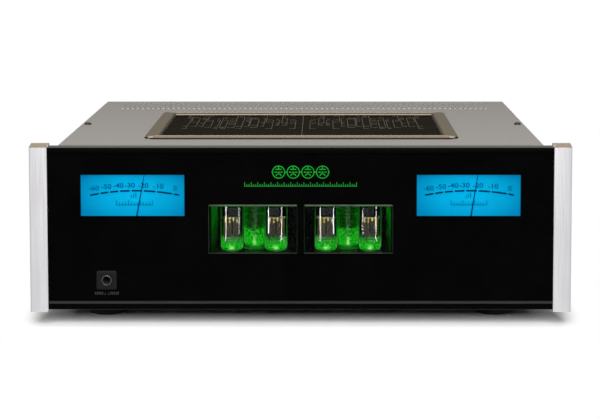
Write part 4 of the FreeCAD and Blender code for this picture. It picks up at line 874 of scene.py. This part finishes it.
def painted_light_in_glass(name, front, full, none, haze, core_level, core_reach, core_width):
    """Painted green glow in blown glass, as a share of emission over a clear shader. The share is
    full up to one level over the seat, falls to a haze at another, and sparkles with a noise; a
    painted pale core stands on the axis, and glancing edges, by Fresnel, show a thin painted
    highlight line."""
    made, tree, _ = new_material(name)
    x, _, z = split_place(tree)
    noise = mottled(tree, 1.25)
    level = add(tree, "Math", [z, SEAT * MM], operation="SUBTRACT")
    fall = add(tree, "MapRange", [level, full * MM, none * MM, 1.0, haze])
    spark = add(tree, "MapRange", [noise, 0.4, 0.56, 0.3, 1.0])
    # Painted glow: a pale core on the axis.
    aside, wide = off_axis(tree, x, front), core_width * MM
    near = add(tree, "MapRange", [aside, 0.3 * wide, wide, 1.0, 0.0])
    up, tall = apart(tree, level, core_level), core_reach * MM
    high = add(tree, "MapRange", [up, 0.2 * tall, tall, 1.0, 0.0])
    core = product(tree, near, high, add(tree, "MapRange", [noise, 0.35, 0.5, 0.7, 1.0]))
    # Painted highlight: a pale line on the glancing outer edges, by Fresnel.
    inside = add(tree, "NewGeometry", output="Backfacing")
    outside = add(tree, "MapRange", [inside, 0.0, 1.0, 1.0, 0.0])
    glance = add(tree, "MapRange", [add(tree, "Fresnel", {"IOR": 1.5}), 0.12, 0.6, 0.0, 0.85])
    edge = product(tree, glance, outside)
    tones = two_tone(tree, noise, 0.42, 0.6, "024E08", "22DC22")
    colours = dict(output="Result", data_type="RGBA")
    rim = add(tree, "Mix", {"Factor": fall, "A": "16581A", "B": "8CB08C"}, **colours)
    for where, tone in ((edge, rim), (core, "9CFF80")):
        tones = add(tree, "Mix", {"Factor": where, "A": tones, "B": tone}, **colours)
    share = product(tree, fall, spark)
    for other in (core, edge):
        share = add(tree, "Math", [share, other], operation="MAXIMUM")
    clear = add(tree, "BsdfTransparent", ["FFFFFF"])
    light = add(tree, "Emission", {"Color": tones, "Strength": 1.0})
    shown(tree, add(tree, "MixShader", [share, clear, light]))
    return made


def tube_painted_light():
    """The painted light in each tube: a shell turned on the tube's axis just inside the glass, from
    the round foot to under the dome."""
    outline = eased([(0, 0.9, 0), (7.9, 0.9, 2.0), (9.3, 4.0, 1.8), (9.3, 38.0, 0)], steps=8)
    front = painted_light_in_glass("front_tube_painted_light", True, 5.5, 13.5, 0.0, 3.4, 3.8, 3.2)
    rear = painted_light_in_glass("rear_tube_painted_light", False, 15.5, 17.5, 0.12, 5.0, 7.0, 2.2)
    for coat, tubes in ((front, FRONT_TUBES), (rear, REAR_TUBES)):
        piece(coat.name, on_tubes(turned(outline), tubes), coat)


def lip_painted_light():
    """Painted grey-green light along the bay's upper lip, greener over each front tube."""
    made, tree, shader = new_material("lip_painted_lamp_light")
    x, _, _ = split_place(tree)
    tones = two_tone(tree, mottled(tree, 9.0), 0.35, 0.65, "48563F", "606D58")
    over = add(tree, "MapRange", [off_axis(tree, x, True), 0.003, 0.008, 0.8, 0.0])
    tones = add(tree, "Mix", {"Factor": over, "A": tones, "B": "487C44"}, "Result",
                data_type="RGBA")
    feed(shader, {"Base Color": "202420", "Roughness": 0.5, "Specular IOR Level": 0.0,
                  "Emission Color": tones, "Emission Strength": 1.0})
    return made


def window_rims():
    """Thin folded rims round each tube window, with a little painted green light, and a paler strip
    along the top with a slanted outer end, whose painted light stands for the bay's lip lit from
    below."""
    y = corners_of("left_tube_bay")[0][1] - 0.1
    low, high = TUBE_Z[0] - 0.6, TUBE_Z[1]
    deep = 0.4
    strip_painted_light = lip_painted_light()
    for side, name in ((-1, "left"), (1, "right")):
        inner, outer = side * TUBE_X[0], side * TUBE_X[1]
        rim = strokes(uprights(np.array([inner, outer]), low, high - low), 0.9, 0.0, deep)
        piece(f"{name}_window_rim", on_front(rim, y), rim_painted_light)
        start, end = inner + side * 0.6, outer - side * 3.0
        view = np.array([[outer, high - 2.1], [start, high - 2.1], [start, high + 0.4],
                         [end, high + 0.4], [outer, high - 1.7]])[:: -side]
        piece(f"{name}_window_top_strip", on_front(drawn_out(view, 0.0, deep), y), strip_painted_light)


tube_glass()
tube_anodes()
tube_insides()
tube_print()
tube_painted_light()
window_rims()


# Display plate, vents

PLATE_RISE = 0.25  # top of the black plate over its foot


def display_frame():
    """A rounded rectangle carried up a soft-edged profile: a thin black gasket, the frame's bead,
    its flat top, an inner slope, a groove and a small ledge. The top of the front and rear runs and
    the ledge take the painted light, the rest the painted shade, the side runs' inner slopes a
    deeper painted shade, and gasket and groove the black of a painted shadow."""
    low, high = corners_of("display_frame")
    middle, half = (low + high) / 2, (high - low) / 2
    top = high[2] - low[2]
    profile = eased([
        (2.0, 0, 0), (-0.7, 0, 0), (-0.7, 0.25, 0.1), (0.9, 0.3, 0.1), (0.9, 0.95, 0.1),
        (0, 1.05, 0.15), (0, top, 0.9), (10.6, top, 0.4), (11.8, 1.85, 0.1), (11.0, 1.75, 0.05),
        (11.0, 1.15, 0.05), (12.2, 1.05, 0.1), (12.2, 0, 0), (2.0, 0, 0)], steps=5)
    points, faces = lofted(half[0], half[1], 11.0, profile, steps=10)
    centres = points[faces[0]].mean(1)
    inward, level = half[:2] - np.abs(centres[:, :2]), centres[:, 2]
    near, along_side = inward.min(1), inward[:, 0] < inward[:, 1]
    # Painted shadow: the gasket's faces at the frame's foot and the groove's faces take the black.
    gasket = (level < 1.0) & (near < 3)
    groove = (level > 1.13) & (level < 1.74) & (near > 10.9)
    # Painted light on the front and rear runs' tops and the ledge; painted shade on the side runs
    # and the outer edge, deeper on the side runs' inner slopes.
    bright, dark, black, shade = range(4)
    inks = np.where(along_side | (near < 0.9), dark, bright)
    inks[along_side & (near > 10.6)] = shade
    inks[gasket | (groove & ~along_side)] = black
    piece("display_frame_ring", copied((points, faces), [middle[0], middle[1], low[2]]),
          [frame_painted_light, frame_painted_shade, gasket_painted_shadow, frame_painted_deep_shade],
          instead_of="display_frame", inks=inks, sharp=50)


def display_plate():
    """The black glass: a low slab whose upper rim is a little rounded."""
    low, high = corners_of("display_glass")
    middle, half = (low + high) / 2, (high - low) / 2
    rim = eased([(0, 0, 0), (0, PLATE_RISE, 0.2), (3.0, PLATE_RISE, 0)], steps=4)
    plate = capped(lofted(half[0], half[1], 0.6, rim, steps=4), 16)
    piece("display_glass_plate", copied(plate, [middle[0], middle[1], low[2]]), display_black,
          instead_of="display_glass")


def display_print():
    """A generic wiring pattern in fine dull gold lines: columns of hatched bars, joined by thin
    wires, set out by a seeded draw on one half and mirrored, with a long line in the middle."""
    low, high = corners_of("display_glass")
    draw = np.random.default_rng(5)
    levels = np.arange(-66.0, 46.0, 9.0)
    lines = []
    for column, x in enumerate(np.linspace(10.0, 106.0, 15)):
        half_wide = draw.uniform(1.5, 5.0) / 2
        used = np.sort(draw.choice(levels, 4 if column % 2 else 5, replace=False))
        across = np.arange(x - half_wide, x + half_wide + 0.1, 1.15)
        lines += [uprights(across, level, draw.uniform(2.5, 6.0)) for level in used]
        left, right = x - half_wide - 1.2, x + half_wide + 1.2
        wires = [[[left, used[0]], [left, used[-2]]], [[right, used[1]], [right, used[-1] + 6]]]
        lines.append(wires[: 1 + column % 2])
    half = np.concatenate(lines)
    both = np.concatenate([half, half * [-1, 1], [[[0, low[1] + 3], [0, high[1] - 3]]]])
    piece("display_print", copied(strokes(both, 0.42, 0.0, 0.05), [0, 0, low[2] + PLATE_RISE]),
          gold_ink)


def vent_blades():
    """Louvre blades: in each slot of the cover a blade stands up at its front end, just over the
    face, and falls off gently to a little under it. Its side view is one closed outline of
    (depth under the face, distance to the rear), drawn out across the blade's width."""
    _, high = corners_of("top_cover")
    half_row, half_wide = high[0] - 23.85, 1.12
    side_view = np.array([[0.0, 0.2], [0.5, 9], [0.7, 36], [0.6, 58.2], [0.1, 59.4], [0.2, 36],
                          [0.0, 12], [-0.9, 2.0], [-0.9, 0.9], [-0.3, 0.2]])
    blade = to_side(drawn_out(side_view, -half_wide, half_wide), 1)
    places = [[x, high[1] - 77.0, high[2]] for x in np.linspace(-half_row, half_row, 72)]
    piece("vent_louvres", copied(blade, places), titanium_paint)


display_frame()
display_plate()
display_print()
vent_blades()


# Feet and screws


def feet():
    """Rubber feet: a slightly tapered drum with a groove and an eased lower rim, and a recess
    for the screw from below."""
    outline = eased([
        (4.6, 3.4, 0), (4.6, 0.6, 0.3), (5.4, 0, 0.3), (16.4, 0, 1.6), (18.6, 5.0, 2.6),
        (18.9, 12.0, 0.3), (18.4, 12.4, 0.2), (18.4, 13.0, 0.2), (19.4, 13.5, 0.4),
        (19.4, 18.2, 0.3), (4.6, 18.2, 0), (4.6, 3.4, 0)], steps=5)
    places = [[x, y, 0] for x in (-166.0, 166.0) for y in (-131.5, 141.5)]
    piece("rubber_feet", copied(turned(outline, 56), places), foot_rubber,
          instead_of="feet")


def pan_screw(radius, height, recess):
    """A low round head whose top follows an ellipse, with a round recess in its middle."""
    share = np.linspace(0, np.pi / 2, 7)
    dome = np.c_[recess + (radius - recess) * np.cos(share), height * (0.35 + 0.65 * np.sin(share))]
    outline = np.vstack([[(0, 0), (radius, 0)], dome, [(recess, height / 4), (0, height / 4)]])
    return turned(outline, 30)


def screws():
    """The cover's two screws on top, its small ones at the sides, and the rear panel's own."""
    _, (aside, _, top) = corners_of("top_cover")
    heads = copied(pan_screw(3.1, 2.0, 1.5), [[-194.7, -28.0, top], [194.7, -28.0, top]])
    piece("cover_top_screws", heads, black_oxide, instead_of="top_screws")
    small = pan_screw(2.6, 1.6, 1.2)
    spots = [(x, z) for z in (26.5, 142.0) for x in (-176.0, -88.0, 0.0, 88.0, 176.0)]
    piece("rear_panel_screws", at_back(small, spots, PANEL_BACK), black_oxide)
    sides = [copied(to_side(small, side), [[side * aside, y, 32.0] for y in (-150.0, 0.0, 150.0)])
             for side in (-1, 1)]
    piece("cover_side_screws", joined(*sides), black_oxide)


feet()
screws()


# Sockets at the rear


def back_of(node):
    """The level of a node's back and the height of its middle."""
    low, high = corners_of(node)
    return high[1], (low[2] + high[2]) / 2


def phono_parts():
    """On each phono jack an insulating ring at its end and a gold washer at its foot."""
    level, z = back_of("phono_jacks")
    ring = flat_ring(1.75, 3.4, 0, 0.25, 0.1, 0.1)
    washer = flat_ring(4.2, 5.2, 1.8, 2.3, 0.3, 0)
    for side, name, coat in ((-1, "left", white_insulator), (1, "right", red_insulator)):
        spots = [(side * 54.0, z), (side * 152.0, z)]
        piece(f"{name}_jack_insulators", at_back(ring, spots, level), coat)
        piece(f"{name}_jack_washers", at_back(washer, spots, PANEL_BACK), gold)


def balanced_parts():
    """Balanced sockets: three sleeves or pins round a middle, a ring, and two flange screws."""
    level, z = back_of("balanced_inputs")
    inputs = [(x, z) for x in (-100.0, -54.0, 54.0, 100.0)]
    outputs = [(x, z) for x in (-152.0, 152.0)]
    three = np.c_[arc(0, 0, 3.7, -30, -270, 3), np.zeros(3)]
    sleeve = flat_ring(0.95, 1.45, 0, 0.12, 0.05, 0.05, steps=2, count=16)
    pin = [(0, 0, 0), (1.32, 0, 0), (1.32, 12.6, 0.8), (0.5, 13.0, 0.2), (0, 13.0, 0)]
    pin = turned(eased(pin, steps=4), 20)
    lip = flat_ring(9.65, 10.4, 0, 0.5, 0.2, 0.2, count=48)
    cup = flat_ring(8.25, 9.3, 0, 0.6, 0.25, 0.25, count=48)
    corners = [(x + side * 10.4, z + side * 12.6) for x, z in inputs + outputs for side in (-1, 1)]
    for name, shape, spots, y, coat, slot in (
        ("input_contacts", copied(sleeve, three), inputs, level, gold, "contact_brass"),
        ("output_pins", copied(pin, three), outputs, level - 14.0, gold, "contact_brass"),
        ("input_rings", lip, inputs, level, black_oxide, "dark_screw"),
        ("output_rings", cup, outputs, level, black_oxide, "dark_screw"),
        ("socket_screws", pan_screw(1.9, 1.0, 0.8), corners, level, nickel, "bare_steel"),
    ):
        piece(name, at_back(shape, spots, y), coat)


def control_parts():
    """In each multi-pin socket an insert with two rows of contacts, each a ring with a dimple."""
    level, z = back_of("control_connectors")
    fields = [(x, z) for x in (-84.0, 84.0)]
    proud = 0.15
    insert = np.array([[-18.2, -3.1], [18.2, -3.1], [16.9, 3.1], [-16.9, 3.1]])
    piece("control_inserts", at_back(drawn_out(insert, -0.5, proud), fields, level), black_plastic)
    rows = [[x, side * 1.4, 0] for side, reach, count in ((-1, 16.2, 13), (1, 14.85, 12))
            for x in np.linspace(-reach, reach, count)]
    dot = [(0, 0, 0), (0.75, 0, 0), (0.75, 0.1, 0.05), (0.35, 0.1, 0), (0.3, 0, 0), (0, 0, 0)]
    field = copied(turned(eased(dot, steps=2), 12), rows)
    piece("control_contacts", at_back(field, fields, level + proud), gold)


def ground_nuts():
    """Knurled thumb nuts: a turned outline whose widest part has 24 ridges, its radius there
    taken down by a share of the cosine of 24 times the angle."""
    outline = eased([(2.1, 0, 0), (5.4, 0, 0), (6.0, 0.6, 0.2), (6.0, 5.2, 0.2), (5.4, 5.8, 0.2),
                     (4.2, 5.9, 0.2), (4.2, 8.0, 0.4), (2.1, 8.0, 0), (2.1, 0, 0)], steps=3)
    points, faces = turned(outline, 120)
    radius = np.hypot(points[:, 0], points[:, 1])
    angle = np.arctan2(points[:, 1], points[:, 0])
    cut = np.where(radius > 5.9, 0.22 * (1 - np.cos(24 * angle)), 0.0)
    points[:, :2] *= (1 - cut / radius)[:, None]
    for side in ("left", "right"):
        low, high = corners_of(f"{side}_ground_nut")
        spot = (low + high)[[0, 2]] / 2
        piece(f"{side}_knurled_nut", at_back((points, faces), [spot], low[1]), gold,
              body=f"{side}_nut", instead_of=f"{side}_ground_nut")


phono_parts()
balanced_parts()
control_parts()
ground_nuts()


# Camera, floor and light

view = bpy.data.cameras.new("camera")
view.lens = 118.4
view.sensor_width = 36.0
view.shift_x, view.shift_y = -0.039, -0.2093
eye = bpy.data.objects.new("camera", view)
eye.location = (0.0187, -1.8067, 0.3409)
eye.rotation_euler = (math.radians(90 - 4.92), 0, 0)  # level, less 4.92 degrees down
scene.collection.objects.link(eye)
scene.camera = eye


def seen(tree):
    """1 for what the camera, a mirror or a glass sees, and 0 for soft light."""
    rays = add(tree, "LightPath").node.outputs
    either = add(tree, "Math", [rays["Is Camera Ray"], rays["Is Glossy Ray"]], operation="MAXIMUM")
    return add(tree, "Math", [either, rays["Is Transmission Ray"]], operation="MAXIMUM")


def lamp(name, power, wide, tall, place, aim, hidden=False):
    """A rectangular soft light at a place, turned towards a point; hidden ones are out of the
    camera's sight, as a lamp behind a baffle is."""
    light = bpy.data.lights.new(name, "AREA")
    light.shape = "RECTANGLE"
    light.size, light.size_y = wide, tall
    light.energy = power
    holder = bpy.data.objects.new(name, light)
    holder.location = place
    across, deep, up = np.array(aim) - np.array(place)
    holder.rotation_euler = (math.atan2(math.hypot(across, deep), -up), 0, math.atan2(-across, deep))
    holder.visible_camera = not hidden
    scene.collection.objects.link(holder)


def surroundings():
    """White all round for what is seen, and much dimmer as a light."""
    world = bpy.data.worlds.new("studio")
    world.use_nodes = True
    tree = world.node_tree
    level = add(tree, "MapRange", [seen(tree), 0.0, 1.0, 0.025, 1.0])
    feed(tree.nodes["Background"], {"Color": "FFFFFF", "Strength": level})
    scene.world = world


def pale_floor():
    """A matt floor that fades into the white away from the object: the share of white rises with
    the length of what lies beyond 0.22 m, across and in depth, each times its own rate."""
    pale, tree, _ = new_material("pale_floor")
    matt = add(tree, "BsdfDiffuse", ["F6F6F6"])
    white = add(tree, "Emission", ["FFFFFF"])
    beyond = add(tree, "TexCoord", output="Object")
    for operation, by in (("ABSOLUTE", ()), ("SUBTRACT", (0.22, 0.22, 0.0)),
                          ("MAXIMUM", (0.0, 0.0, 0.0)), ("MULTIPLY", (50.0, 3.5, 0.0))):
        beyond = add(tree, "VectorMath", [beyond, by] if by else [beyond], operation=operation)
    length = add(tree, "VectorMath", [beyond], "Value", operation="LENGTH")
    fade = add(tree, "MapRange", [length], interpolation_type="SMOOTHSTEP")
    shown(tree, add(tree, "MixShader", [product(tree, fade, seen(tree)), matt, white]))
    reach = 12.0
    sheet = bpy.data.meshes.new("floor")
    ends = [(-reach, -reach, 0), (reach, -reach, 0), (reach, reach, 0), (-reach, reach, 0)]
    sheet.from_pydata(ends, [], [(0, 1, 2, 3)])
    sheet.materials.append(pale)
    floor = bpy.data.objects.new("floor", sheet)
    scene.collection.objects.link(floor)


surroundings()
pale_floor()
# One wide soft light low in front, which reaches under the object, a weaker one high in front,
# and a small hidden one at each side of each bay, turned towards its middle.
lamp("low_softbox", 214.0, 1.3, 1.18, (0.0, -3.12, 1.31), (0.0, -0.2, 0.0))
lamp("high_softbox", 27.0, 2.4, 1.4, (0.0, -1.6, 2.18), (0.0, -0.2, 0.0))
for side in (-1, 1):
    for x in (4.2, 74.4):
        lamp("bay_side_lamp", 0.012, 0.004, 0.034, (side * x * MM, -0.1885, 0.084),
             (side * BAY_MIDDLE * MM, -0.172, 0.084), hidden=True)
